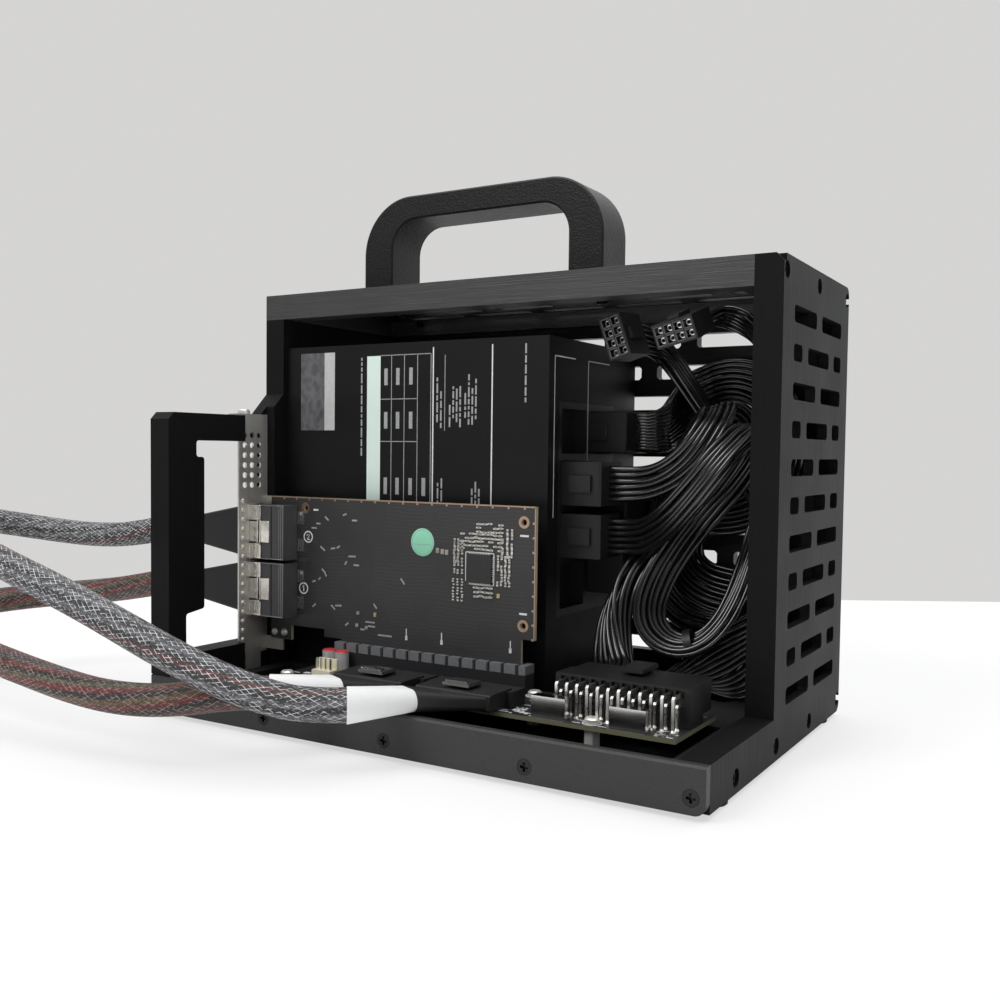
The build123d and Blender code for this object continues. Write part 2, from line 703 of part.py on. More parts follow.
plug_y = (header_y[0] + 5.0, header_y[0] + 5.0 + header_length - 5.0 + plug_length)
plug_z = (header_z[0] + 2.3, header_z[1] - 2.3)
plug_mid_z = (plug_z[0] + header_z[1]) / 2


def power_plug():
    """Plug at the end of the 24 way harness, part of it inside the header, with a post for its latch."""
    half = header_half - header_wall + play
    x = (header_x_mid - half, header_x_mid + half)
    body = block(x, plug_y, plug_z)
    lip = block(x, (header_y[1] + play, plug_y[1]), (plug_z[0], header_z[1]))
    post = block((header_x_mid - 4.5, header_x_mid + 4.5), (header_y[1] + 4.2, header_y[1] + 6.2),
                 (header_z[1], header_z[1] + 1.0))
    return body + lip + post


latch_pivot = (header_x_mid, header_y[1] + 5.2, header_z[1] + 2.0)


def power_latch():
    """Rocking latch: a thumb plate behind its post and a hooked arm forward over the header."""
    arm = [(latch_pivot[1] - 9.0, latch_pivot[2] - 0.8), (latch_pivot[1] + 6.0, latch_pivot[2] - 0.8),
           (latch_pivot[1] + 6.0, latch_pivot[2] + 0.6), (latch_pivot[1] + 5.0, latch_pivot[2] + 1.2),
           (latch_pivot[1] - 9.0, latch_pivot[2] + 0.6)]
    return prism(side_plane(header_x_mid - 4.5), arm, 9.0)


def shield_cans():
    """Two folded metal cans near the board's front edge, open underneath."""
    width, depth, height = can_size
    y = (board_y[0] + can_front_inset, board_y[0] + can_front_inset + depth)
    high = board_z[1] + height
    cans = []
    for x in (can_mid_x - can_pitch / 2, can_mid_x + can_pitch / 2):
        span = (x - width / 2, x + width / 2)
        can = block(span, y, (board_z[1], high))
        hollow = block((span[0] + can_sheet, span[1] - can_sheet), (y[0] + can_sheet, y[1] - can_sheet),
                       (board_z[1], high - can_sheet))
        cans.append(can - hollow)
    return cans


def capacitors():
    """Two radial capacitors beside the end of the slot."""
    cans = []
    for x in (slot_x[0] + 0.5, slot_x[0] + 7.6):
        can = rod((x, slot_y - slot_width / 2 - 4.0, board_z[1]), (0, 0, 1), 3.15, 8.6)
        cans.append(chamfer(can.edges().group_by(Axis.Z)[-1], 0.4))
    return cans


def fan_header():
    """Four pin fan header with a back wall and square posts."""
    x = (slot_x[0] + 4.0, slot_x[0] + 14.2)
    y = (board_y[0] + 11.0, board_y[0] + 17.0)
    body = block(x, y, (board_z[1], board_z[1] + 2.6))
    body += block(x, (y[1] - 1.4, y[1]), (board_z[1], board_z[1] + 7.0))
    pitch = (x[1] - x[0]) / 4
    for pin in range(4):
        mid = x[0] + (pin + 0.5) * pitch
        body += block((mid - 0.32, mid + 0.32), (y[0] + 1.6, y[0] + 2.24),
                      (board_z[1] + 2.6, board_z[1] + 7.6))
    return body


def card_chip():
    """Square controller chip on the card's face."""
    mid = (card_x[1] - chip_from_end, (card_z[0] + card_z[1]) / 2 + 0.4)
    half = chip_size / 2
    return block((mid[0] - half, mid[0] + half), (card_y[0] - chip_height, card_y[0]),
                 (mid[1] - half, mid[1] + half))


# Power supply
fan_x = psu_x[0] + fan_inlet_gap + fan_size / 2
fan_z = (psu_z[0] + psu_z[1]) / 2
fan_hole_pitch = fan_size - 15.0
socket_y = [psu_y[0] + 23.0, psu_y[0] + 23.0 + socket_pitch[0]]
socket_z = [psu_z[1] - 39.0 - row * socket_pitch[1] for row in range(4)]
long_socket_z = socket_z[2]
fan_y = (psu_y[1] - psu_sheet - fan_depth, psu_y[1] - psu_sheet)
inlet_mid = ((psu_y[0] + fan_y[0]) / 2, psu_z[1] - 42.0)
switch_mid = (inlet_mid[0], inlet_mid[1] - 38.0)


def socket_field():
    """Low and high edges, in Y and in Z, of the opening that the socket block fills."""
    half = (socket_size[0] / 2 + socket_wall, socket_size[1] / 2 + socket_wall)
    return (socket_y[0] - half[0], socket_y[1] + half[0]), (socket_z[-1] - half[1], socket_z[0] + half[1])


def psu_chassis():
    """Folded chassis: the plain face towards the front, the inlet end and the socket end."""
    shell = block(psu_x, (psu_y[0], psu_y[1] - psu_sheet), psu_z)
    shell -= block((psu_x[0] + psu_sheet, psu_x[1] - psu_sheet), (psu_y[0] + psu_sheet, psu_y[1]), psu_z)
    y, z = socket_field()
    shell -= block((psu_x[1] - psu_sheet, psu_x[1]), y, z)
    for mid, size in ((inlet_mid, inlet_size), (switch_mid, switch_size)):
        half = (size[0] / 2 + 0.2, size[1] / 2 + 0.2)
        shell -= block((psu_x[0], psu_x[0] + psu_sheet), (mid[0] - half[0], mid[0] + half[0]),
                       (mid[1] - half[1], mid[1] + half[1]))
    return shell - psu_bores


def psu_lid():
    """Folded lid: the fan face towards the back, with a round opening, and the top and bottom sides."""
    x = (psu_x[0] + psu_sheet, psu_x[1] - psu_sheet)
    lid = block(psu_x, (psu_y[1] - psu_sheet, psu_y[1]), psu_z)
    lid += block(x, (psu_y[0] + psu_sheet, psu_y[1] - psu_sheet), (psu_z[0], psu_z[0] + psu_sheet))
    lid += block(x, (psu_y[0] + psu_sheet, psu_y[1] - psu_sheet), (psu_z[1] - psu_sheet, psu_z[1]))
    return lid - rod((fan_x, psu_y[1] - psu_sheet, fan_z), (0, 1, 0), fan_bore / 2, psu_sheet)


hub_y = (fan_y[0] + 3.0 + play, fan_y[1] - 2.0)


def psu_fan_frame():
    """Square fan frame with a round bore, a motor seat and four struts that carry it."""
    half = fan_size / 2
    frame = block((fan_x - half, fan_x + half), fan_y, (fan_z - half, fan_z + half))
    frame -= rod((fan_x, fan_y[0], fan_z), (0, 1, 0), fan_bore / 2, fan_depth)
    frame += rod((fan_x, fan_y[0], fan_z), (0, 1, 0), fan_hub / 2, 3.0)
    reach = fan_bore / 2 + 0.5
    strut = block((-reach, reach), (fan_y[0], fan_y[0] + 2.4), (-2.0, 2.0))
    for turn in (45, 135):
        frame += Pos(fan_x, 0, fan_z) * Rot(0, turn, 0) * strut
    return frame


def psu_fan_rotor():
    """Fan rotor: a hub with pitched blades."""
    hub = rod((fan_x, hub_y[0], fan_z), (0, 1, 0), fan_hub / 2, hub_y[1] - hub_y[0])
    mid = (hub_y[0] + hub_y[1]) / 2
    tip = fan_bore / 2 - fan_tip_gap - 1.2
    root_chord = 15.0
    tip_chord = 21.0
    blade_sheet = 1.6
    root = Plane(origin=(fan_hub / 2 - 2.0, 0, 0), x_dir=(0, 1, 0), z_dir=(1, 0, 0)) * Rot(0, 0, 38)
    end = Plane(origin=(tip, 0, 0), x_dir=(0, 1, 0), z_dir=(1, 0, 0)) * Rot(0, 0, 58)
    blade = loft([root * Rectangle(root_chord, blade_sheet), end * Rectangle(tip_chord, blade_sheet)])
    for step in range(fan_blades):
        hub += Pos(fan_x, mid, fan_z) * Rot(0, step * 360 / fan_blades, 0) * blade
    return hub


def psu_fan_grille():
    """Wire guard over the fan opening: rings on two crossed bars that end on the fan face."""
    centre = Pos(fan_x, psu_y[1] + grille_wire / 2, fan_z)
    reach = fan_hole_pitch / 2 ** 0.5
    bar = rod((-reach, 0, 0), (1, 0, 0), grille_wire / 2, 2 * reach)
    step = fan_hole_pitch / 2 / grille_rings
    radii = [step * (ring + 1) for ring in range(grille_rings)]
    rings = [centre * Rot(90, 0, 0) * Torus(radius, grille_wire / 2) for radius in radii]
    return centre * Rot(0, 45, 0) * bar + centre * Rot(0, 135, 0) * bar + rings


def psu_inlet():
    """Mains inlet: a flanged socket with three flat pins in its recess."""
    y, z = inlet_mid
    half = (inlet_size[0] / 2, inlet_size[1] / 2)
    lip = (half[0] + 2.0, half[1] + 2.0)
    body = block((psu_x[0], psu_x[0] + inlet_depth), (y - half[0], y + half[0]), (z - half[1], z + half[1]))
    body += block((psu_x[0] - 2.0, psu_x[0]), (y - lip[0], y + lip[0]), (z - lip[1], z + lip[1]))
    mouth = [(y - 12.0, z - 8.0), (y + 12.0, z - 8.0), (y + 12.0, z + 3.0), (y + 7.0, z + 8.0),
             (y - 7.0, z + 8.0), (y - 12.0, z + 3.0)]
    body -= prism(side_plane(psu_x[0] - 2.0), mouth, inlet_depth - 4.0)
    for pin_y, pin_level in ((y - 7.0, z - 2.0), (y + 7.0, z - 2.0), (y, z + 2.0)):
        body += block((psu_x[0] + 2.0, psu_x[0] + inlet_depth - 5.0), (pin_y - 1.0, pin_y + 1.0),
                      (pin_level - 2.0, pin_level + 2.0))
    return body


def psu_switch_bezel():
    """Frame that the rocker turns in."""
    y, z = switch_mid
    half = (switch_size[0] / 2, switch_size[1] / 2)
    lip = (half[0] + 1.5, half[1] + 1.5)
    well = (half[0] - switch_wall, half[1] - switch_wall)
    body = block((psu_x[0], psu_x[0] + 14.0), (y - half[0], y + half[0]), (z - half[1], z + half[1]))
    body += block((psu_x[0] - 1.6, psu_x[0]), (y - lip[0], y + lip[0]), (z - lip[1], z + lip[1]))
    return body - block((psu_x[0] - 1.6, psu_x[0] + 12.0), (y - well[0], y + well[0]),
                        (z - well[1], z + well[1]))


switch_pivot = (psu_x[0] + 3.0, switch_mid[0], switch_mid[1])


def psu_switch():
    """Rocker with two sloped faces and short pivot stubs, drawn with its lower end pressed in."""
    half_y = switch_size[0] / 2 - switch_wall - play
    reach = switch_size[1] / 2 - switch_wall - 0.9
    face = [(-4.4, 0.0), (-5.2, reach), (3.4, reach - 1.6), (4.6, 0.0), (3.4, -reach + 1.6), (-5.2, -reach)]
    plane = Plane(origin=(0, -half_y, 0), x_dir=(1, 0, 0), z_dir=(0, 1, 0))
    rocker = extrude(plane * make_face(Polyline(*[(x, -z) for x, z in face], close=True)), amount=2 * half_y)
    return Pos(*switch_pivot) * Rot(0, switch_tilt, 0) * rocker


def socket_places():
    """Centre and height of each socket opening in the socket end of the power supply."""
    places = [(socket_y[0], z, socket_size[1]) for z in socket_z]
    places.append((socket_y[1], long_socket_z, long_socket_height))
    return places + [(socket_y[1], socket_z[0], socket_size[1])]


def psu_socket_panel():
    """Socket block at the wiring end: a plate behind the chassis with open sockets in two columns."""
    y, z = socket_field()
    plate = block((psu_x[1] - socket_depth, psu_x[1]), (y[0] + 0.1, y[1] - 0.1), (z[0] + 0.1, z[1] - 0.1))
    inner = psu_x[1] - psu_sheet
    plate += block((inner - 1.5, inner), (y[0] - 2.0, y[1] + 2.0), (z[0] - 2.0, z[1] + 2.0))
    for mid_y, mid_z, height in socket_places():
        half = (socket_size[0] / 2, height / 2)
        plate -= block((psu_x[1] - socket_depth + 1.5, psu_x[1]), (mid_y - half[0], mid_y + half[0]),
                       (mid_z - half[1], mid_z + half[1]))
    return plate


lead_start_x = psu_x[1] - 6.0 + lead_plug_length


def psu_plug(mid_y, mid_z, height):
    """Plug in a socket of the power supply, with a catch on its upper side."""
    half = (socket_size[0] / 2 - 0.3, height / 2 - 0.3)
    body = block((psu_x[1] - 6.0, lead_start_x), (mid_y - half[0], mid_y + half[0]),
                 (mid_z - half[1], mid_z + half[1]))
    body = chamfer(body.edges().filter_by(Axis.Z).group_by(Axis.X)[-1], 1.0)
    side = mid_y - half[0]
    return body + block((psu_x[1] + 4.0, psu_x[1] + 14.0), (side - 1.4, side), (mid_z - 3.5, mid_z + 3.5))


def psu_circuit():
    """Circuit board inside the power supply with its transformer, two heat sinks and the bulk capacitor."""
    z = (psu_z[0] + 24.0, psu_z[1] - 16.0)
    x = (psu_x[0] + 26.0, psu_x[1] - 12.0)
    y = psu_y[0] + psu_sheet + 6.0
    parts = [block(x, (y, y + 1.6), z)]
    face = y + 1.6
    mid = (x[0] + x[1]) / 2
    core = transformer_size / 2
    low = z[0] + 40.0
    parts.append(block((mid - core, mid + core), (face, face + 2 * core), (low, low + 2 * core)))
    for sink in (mid - 30, mid + 26):
        parts.append(block((sink, sink + 4), (face, face + 38), (z[0] + 10, z[0] + 80)))
    parts.append(rod((mid - 4, face, z[1] - 20), (0, 1, 0), 13.0, 36.0))
    for place in ((x[0] + 4, z[0] + 4), (x[1] - 4, z[0] + 4), (x[0] + 4, z[1] - 4), (x[1] - 4, z[1] - 4)):
        parts.append(rod((place[0], y - 6.0, place[1]), (0, 1, 0), 3.0, 6.0))
    return parts


def psu_screws():
    """Four screws through the left panel into the inlet end of the power supply."""
    return [screw(seat, axis, 8.0) for seat, axis in psu_screw_seats]


# Loose plugs at the ends of the two graphics leads: four ways by two
loose_size = (4 * pin_pitch + 1.0, 2 * pin_pitch + 1.4, loose_plug_length)
loose_a = Location((51.0, 2.0, 162.5), (0, 0, 0))
loose_b = Location((77.0, 2.0, 163.0), (0, 0, 0))
loose_a_turn = Rot(4, 73, 0)
loose_b_turn = Rot(16, -13, 0)


def loose_plug(place, turn):
    """Four by two plug, open at the front of each way, with a catch along one long side."""
    width, height, length = loose_size
    body = Box(width, length, height, align=(Align.CENTER, Align.MIN, Align.CENTER))
    for column in range(4):
        for row in (-0.5, 0.5):
            way = Box(pin_pitch - 1.2, 9.0, pin_pitch - 1.2, align=(Align.CENTER, Align.MIN, Align.CENTER))
            body -= Pos((column - 1.5) * pin_pitch, 0, row * pin_pitch) * way
    catch = Box(5.0, 12.0, 1.6, align=(Align.CENTER, Align.MIN, Align.MIN))
    body += Pos(0, 3.0, height / 2) * catch
    return place * turn * body


def loose_tail(place, turn, beyond):
    """Point straight behind the middle of a loose plug's back face, where its lead ends."""
    return tuple((place * turn * Pos(0, loose_size[2] + beyond, 0)).position)


def cord(name, points, diameter):
    """Tube along a route: straight runs joined by arcs as large as the runs allow."""
    route = [Vector(*point) for point in points]
    radii = []
    for before, here, after in zip(route, route[1:], route[2:]):
        turn = (here - before).get_angle(after - here)
        shorter = min((here - before).length, (after - here).length)
        radii.append(0.45 * shorter / tan(radians(turn) / 2))
    path = FilletPolyline(*route, radius=radii)
    tube = sweep(Plane(origin=path @ 0, z_dir=path % 0) * Circle(diameter / 2), path=path)
    section = pi * diameter ** 2 / 4
    print(name, "length", round(path.length, 1), "least radius", round(min(radii), 1),
          "volume ratio", round(tube.volume / (section * path.length), 4))
    return tube


def cable_start(z, beyond):
    """Point straight out from where a host cable leaves its card plug."""
    return (bracket_x[0] - port_reach - card_plug_reach - beyond, card_y[0] - port_depth / 2, z - 0.4)


def cable_end(which, beyond):
    """Point straight out from where a host cable enters its white sleeve."""
    x = link_x[which] + boot_shift[which] + sleeve_drift[which] - beyond * sin(radians(sleeve_turn))
    y = boot_end_y - sleeve_length - beyond * cos(radians(sleeve_turn))
    return (x, y, sleeve_end_z)


host_route_a = [
    cable_start(port_z[0], 0), cable_start(port_z[0], 12), (-182, -27.7, 74.4), (-198, -28, 71.8),
    (-214, -28.7, 70), (-231, -31, 69.4), (-247, -36.5, 70.5), (-260, -46, 73), (-268.5, -59, 76),
    (-272, -74.5, 79), (-269, -90, 81), (-260, -104, 82), (-246, -115, 82), (-228, -122.5, 80.5),
    (-208, -127.5, 78), (-186, -130.5, 74.5), (-162, -132.5, 69.5), (-136, -134, 63.5),
    (-110, -134.8, 57), (-84, -134.8, 49.5), (-60, -133, 41.5), (-40, -129.5, 34.5), (-24, -123.7, 29),
    cable_end(1, 15), cable_end(1, 0),
]
host_route_b = [
    cable_start(port_z[1], 0), cable_start(port_z[1], 12), (-182, -27.7, 47.6), (-197, -28, 44.8),
    (-213, -29, 42), (-229, -32.5, 39.8), (-243, -39.5, 38.2), (-253.5, -50, 37), (-260, -63.5, 36.2),
    (-261, -78.5, 35.6), (-256.5, -93, 35), (-247, -105.5, 34.2), (-233.5, -115, 33.2),
    (-216, -121.5, 32), (-196, -125.5, 30), (-174, -128, 27.5), (-148, -129, 24.3),
    (-121, -129.3, 21.5), (-97, -128.9, 20.2), (-77, -126.7, 20.6), (-60.5, -122.6, 22.6),
    cable_end(0, 15), cable_end(0, 0),
]
harness_start = (lead_start_x, socket_y[1], long_socket_z - 14.0)
harness_entry = (header_x_mid - 18.0, plug_y[1], plug_mid_z)
lead_route_a = [
    (lead_start_x, socket_y[0], socket_z[1]), (lead_start_x + 9, socket_y[0], socket_z[1]),
    (64.5, 11, 103), (73.5, 9, 106.5), (81.5, 8, 112.5), (87.5, 8.6, 120.5), (91, 12.4, 128.5),
    (90.8, 19.2, 133.6), (86.8, 26, 133.4), (80.5, 32, 128.6), (72.5, 37.6, 119.8), (64, 42.6, 108.6),
    (56.4, 47.4, 96), (50.4, 52.2, 82.6), (47, 56.6, 69.4), (47.6, 60.2, 56.8), (52.8, 63, 46.4),
    (62, 64.6, 39.6), (73.4, 65.2, 37.4), (84.6, 64.8, 40.8), (93.6, 63.6, 49), (98.8, 62, 60.2),
    (99.6, 60.8, 73), (96.6, 60, 86.6), (90.6, 59.6, 100.2), (83, 59.2, 113.4), (75, 58.6, 125.8),
    (67.6, 57.6, 137.2), (61.4, 55.2, 147.6), (56.6, 50.8, 156.4), (53.2, 43.6, 162.4),
    loose_tail(loose_a, loose_a_turn, 10), loose_tail(loose_a, loose_a_turn, 0),
]
lead_route_b = [
    (lead_start_x, socket_y[0], socket_z[2]), (lead_start_x + 8, socket_y[0], socket_z[2]),
    (62, 8.8, 81), (70, 3.8, 84.5), (78, -0.8, 90), (85.4, -3.8, 97), (92, -4.6, 105), (98, -3.2, 113),
    (103.2, 0.8, 120), (106.8, 7.2, 124.6), (107.6, 14.8, 125.2), (105.2, 21.4, 121.6), (101, 25, 115),
    (96, 25.6, 107.6), (90.8, 24.2, 100.2), (85.2, 21.4, 92.4), (79.2, 18, 84), (73.4, 14.6, 74.8),
    (68.6, 11.2, 65), (65.6, 8.4, 54.8), (66.4, 6.6, 45.8), (72.2, 5.8, 39.6), (80.6, 5.8, 37.4),
    (88.8, 7.2, 40), (95.2, 10.4, 47), (99.6, 14.6, 57), (102.6, 19, 69), (104.8, 23.6, 82),
    (106.2, 28, 95.6), (106.8, 32, 109.6), (106.6, 35.6, 123.6), (105.8, 39, 137), (103.8, 42.6, 149.4),
    (100, 46.6, 160), (94.4, 50, 167.6), (87.8, 51, 172), (81.8, 48, 174.4), (78.2, 42, 174.2),
    loose_tail(loose_b, loose_b_turn, 12), loose_tail(loose_b, loose_b_turn, 0),
]
harness_route = [
    harness_start, (harness_start[0] + 9, harness_start[1], harness_start[2]), (61.8, 35.6, 68),
    (64, 28.8, 70), (61, 21.6, 69.4), (56.6, 15.2, 65), (53.2, 9.8, 57.4), (51.8, 5.8, 48.4),
    (52.4, 2.4, 39.4), (54.6, -2.2, 31.6), (harness_entry[0], harness_entry[1] + 9, harness_entry[2]),
    harness_entry,
]
tie_run_index = 22


def cable_tie():
    """Tie round the folded lead: a thin band across one straight run and its square head."""
    start, end = [Vector(*point) for point in lead_route_b[tie_run_index:tie_run_index + 2]]
    band = Plane(origin=(start + end) * 0.5, z_dir=end - start)
    radius = lead_diameter / 2 + play
    ring = extrude(band * (Circle(radius + 0.9) - Circle(radius)), amount=tie_width / 2, both=True)
    head = extrude(band * Pos(0, -radius - 2.2) * Rectangle(4.6, 3.4), amount=tie_width / 2 + 0.6, both=True)
    return ring + head


nodes = {
    "base_tray": base_tray(),
    "front_bar": front_bar(),
    "left_panel": left_panel(),
    "right_panel": right_panel(),
    "rear_panel": rear_panel(),
    "top_panel": top_panel(),
    "carry_handle": carry_handle(),
    "rubber_feet": rubber_feet(),
    "front_bar_screws": [sunk_screw(x) for x in bar_screw_x],
    "panel_screws": [screw(seat, axis) for seat, axis in panel_screw_seats],
    "handle_screws": [screw(seat, axis, 12.0) for seat, axis in handle_screw_seats],
    "board_standoffs": board_standoffs(),
    "board_screws": board_screws(),
    "dock_board": dock_board(),
    "pcie_slot": pcie_slot(),
    "power_header": power_header(),
    "power_header_pins": power_pins(),
    "power_plug": power_plug(),
    "power_plug_latch": power_latch(),
    "shield_cans": shield_cans(),
    "capacitors": capacitors(),
    "fan_header": fan_header(),
    "card_board": card_board(),
    "card_bracket": card_bracket(),
    "card_chip": card_chip(),
    "bracket_screw": screw((bracket_screw_x, bracket_screw_y, ledge_z + bracket_sheet), (0, 0, 1), 9.0),
    "psu_chassis": psu_chassis(),
    "psu_lid": psu_lid(),
    "psu_fan_frame": psu_fan_frame(),
    "psu_fan_rotor": psu_fan_rotor(),
    "psu_fan_grille": psu_fan_grille(),
    "psu_inlet": psu_inlet(),
    "psu_switch_bezel": psu_switch_bezel(),
    "psu_switch": psu_switch(),
    "psu_socket_panel": psu_socket_panel(),
    "psu_circuit": psu_circuit(),
    "psu_screws": psu_screws(),
    "psu_plug_a": psu_plug(socket_y[0], socket_z[1], socket_size[1]),
    "psu_plug_b": psu_plug(socket_y[0], socket_z[2], socket_size[1]),
    "psu_plug_long": psu_plug(socket_y[1], long_socket_z, long_socket_height),
    "loose_plug_a": loose_plug(loose_a, loose_a_turn),
    "loose_plug_b": loose_plug(loose_b, loose_b_turn),
    "lead_a": cord("lead_a", lead_route_a, lead_diameter),
    "lead_b": cord("lead_b", lead_route_b, lead_diameter),
    "harness": cord("harness", harness_route, harness_diameter),
    "cable_tie": cable_tie(),
    "host_cable_a": cord("host_cable_a", host_route_a, host_cable_diameter),
    "host_cable_b": cord("host_cable_b", host_route_b, host_cable_diameter),
}
for letter, index in (("a", 0), ("b", 1)):
    nodes["card_port_" + letter] = card_port(port_z[index])
    nodes["card_plug_" + letter] = card_plug(port_z[index])
    nodes["link_socket_" + letter] = link_socket(link_x[index])
    nodes["link_plug_" + letter] = link_plug(link_x[index], boot_shift[index])
    nodes["link_latch_" + letter] = link_latch(link_x[index])
    nodes["link_sleeve_" + letter] = link_sleeve(link_x[index], boot_shift[index], sleeve_drift[index])

os.makedirs("parts", exist_ok=True)
for name, shape in nodes.items():
    solids = shape if isinstance(shape, list) else [shape]
    children = [solid for piece in solids for solid in piece.solids()]
    export_step(Compound(children=children), f"parts/{name}.step")
print(len(nodes), "nodes")
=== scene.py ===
# %% [markdown]
# # External graphics card enclosure
# The real object is a black case, open at its front, that carries a mains power supply, a dock board and an upright
# adapter card. Two braided cables leave the card on the left and come back over the front bar.
# The solids come from the CAD model in metres, so every piece made here is placed by the CAD's own numbers.

# %% Load the frame
import bpy
import numpy as np
from mathutils import Matrix, Vector


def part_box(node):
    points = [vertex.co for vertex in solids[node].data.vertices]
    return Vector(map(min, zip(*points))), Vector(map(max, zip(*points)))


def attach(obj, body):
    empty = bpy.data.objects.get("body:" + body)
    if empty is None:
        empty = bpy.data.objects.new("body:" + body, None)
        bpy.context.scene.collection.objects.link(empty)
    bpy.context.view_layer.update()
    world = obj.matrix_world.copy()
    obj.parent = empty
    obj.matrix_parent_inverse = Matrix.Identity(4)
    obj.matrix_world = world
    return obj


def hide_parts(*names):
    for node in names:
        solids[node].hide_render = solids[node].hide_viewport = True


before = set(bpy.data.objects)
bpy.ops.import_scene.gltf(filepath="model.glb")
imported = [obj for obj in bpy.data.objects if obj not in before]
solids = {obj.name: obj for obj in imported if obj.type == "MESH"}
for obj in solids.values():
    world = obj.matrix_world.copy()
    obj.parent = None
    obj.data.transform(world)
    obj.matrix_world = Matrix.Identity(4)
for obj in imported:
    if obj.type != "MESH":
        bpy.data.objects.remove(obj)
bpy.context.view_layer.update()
MM = 0.001
chance = np.random.default_rng(7)
print(len(solids), "solids loaded")

# %% [markdown]
# ## Camera
# The photograph was taken from the front right, a little above the deck, with a normal lens. The camera is built
# from its heading, pitch and roll rather than from a target point, because those three angles were measured.


# %% Camera
def placed(name, data):
    """Object that holds this data, linked into the scene."""
    made = bpy.data.objects.new(name, data)
    bpy.context.collection.objects.link(made)
    return made


turn, dip, roll = np.radians([31.0604, 2.5998, 0.683])
eye = np.array([237.443, -396.582, 115.022]) * MM
ahead = np.array([-np.sin(turn) * np.cos(dip), np.cos(turn) * np.cos(dip), -np.sin(dip)])
level = np.array([np.cos(turn), np.sin(turn), 0])
above = np.cross(level, ahead)
pose = np.eye(4)
pose[:3, 0] = level * np.cos(roll) + above * np.sin(roll)
pose[:3, 1] = above * np.cos(roll) - level * np.sin(roll)
pose[:3, 2] = -ahead
pose[:3, 3] = eye
lens = bpy.data.cameras.new("view")
lens.lens, lens.sensor_width = 38.364, 36
camera = placed("view", lens)
camera.matrix_world = Matrix(pose.tolist())
bpy.context.scene.camera = camera
bpy.context.scene.view_settings.view_transform = "Standard"
print("camera at", eye.round(3))

# %% [markdown]
# ## Surfaces from grids
# Almost every small piece here is a grid of points: rows along the piece, columns round it. One function turns
# such a grid into faces, so a shape only has to say where its points are. Whole arrays are quicker to write and to
# read than a loop that places one vertex after another.


# %% Grids into faces
def skin(grid, caps=True):
    """Faces of a grid of points: a cell between neighbouring rows and columns is one four-sided face, and the
    columns close round on themselves. The first and last rows are filled, or else joined to each other."""
    rows, columns = grid.shape[:2]
    row, column = np.meshgrid(np.arange(rows - caps), np.arange(columns), indexing="ij")
    beside, below = (column + 1) % columns, (row + 1) % rows
    quads = np.stack([row * columns + column, row * columns + beside, below * columns + beside,
                      below * columns + column], -1).reshape(-1, 4).tolist()
    ends = [list(range(columns))[::-1], list(range((rows - 1) * columns, rows * columns))] if caps else []
    return grid.reshape(-1, 3), quads + ends


def joined(parts):
    """Several meshes as one: each part's face numbers move up by the points that come before it."""
    starts = np.cumsum([0] + [len(points) for points, _ in parts]).tolist()
    points = np.concatenate([np.asarray(points, float) for points, _ in parts])
    return points, [[corner + start for corner in face] for start, (_, cells) in zip(starts, parts) for face in cells]


print("grids ready")

# %% Turned shapes
X, Y, Z = np.eye(3)


def turned(plane, place, profile, caps=True, sides=24):
    """Turned shape on a plane: a profile of (radius, height) pairs swung once round the plane's normal."""
    origin, across, up = plane
    angle = np.linspace(0, 2 * np.pi, sides, endpoint=False)[:, None]
    spoke = np.cos(angle) * across + np.sin(angle) * up
    profile = np.asarray(profile, float)
    middle = origin + place[0] * across + place[1] * up
    return skin(middle + profile[:, :1, None] * spoke + (profile[:, 1:] * np.cross(across, up))[:, None], caps)


def ring(plane, place, inner, outer, low, high, sides=28):
    """Flat ring: a rectangle between two radii and two heights, swung once round the plane's normal."""
    return turned(plane, place, [(inner, low), (outer, low), (outer, high), (inner, high)], False, sides)


print("turned shapes ready")


# %% Bricks and drawn lines
THIN = 0.08
BRICK = np.array([(*corner, out) for out in (0, 1) for corner in ((-1, -1), (1, -1), (1, 1), (-1, 1))])
BRICK_SIDES = np.array([[0, 3, 2, 1], [4, 5, 6, 7], [0, 1, 5, 4], [1, 2, 6, 5], [2, 3, 7, 6], [3, 0, 4, 7]])


def slabs(plane, place, size, lift=THIN, lean=0):
    """Bricks on a plane: each centre goes out by half its width and half its height along the plane's directions,
    turned by its own lean in degrees, and up from the plane by its lift."""
    origin, across, up = plane
    place = np.atleast_2d(np.asarray(place, float))
    half = np.broadcast_to(np.asarray(size, float) / 2, place.shape)
    lean = np.broadcast_to(np.radians(lean), len(place))[:, None]
    lift = np.broadcast_to(lift, len(place))[:, None]
    wide = half[:, :1] * (np.cos(lean) * across + np.sin(lean) * up)
    tall = half[:, 1:] * (np.cos(lean) * up - np.sin(lean) * across)
    middle = origin + place[:, :1] * across + place[:, 1:] * up
    points = middle[:, None] + BRICK[:, :1] * wide[:, None] + BRICK[:, 1:2] * tall[:, None]
    points = points + BRICK[:, 2:] * (lift * np.cross(across, up))[:, None]
    starts = len(BRICK) * np.arange(len(place))[:, None, None]
    return points.reshape(-1, 3), (BRICK_SIDES + starts).reshape(-1, 4).tolist()


def listed(plane, rows, lift=THIN):
    """Bricks from rows of place and size, with the row's own lift in a fifth column if there is one."""
    rows = np.asarray(rows, float)
    return slabs(plane, rows[:, :2], rows[:, 2:4], rows[:, 4] if rows.shape[1] > 4 else lift)


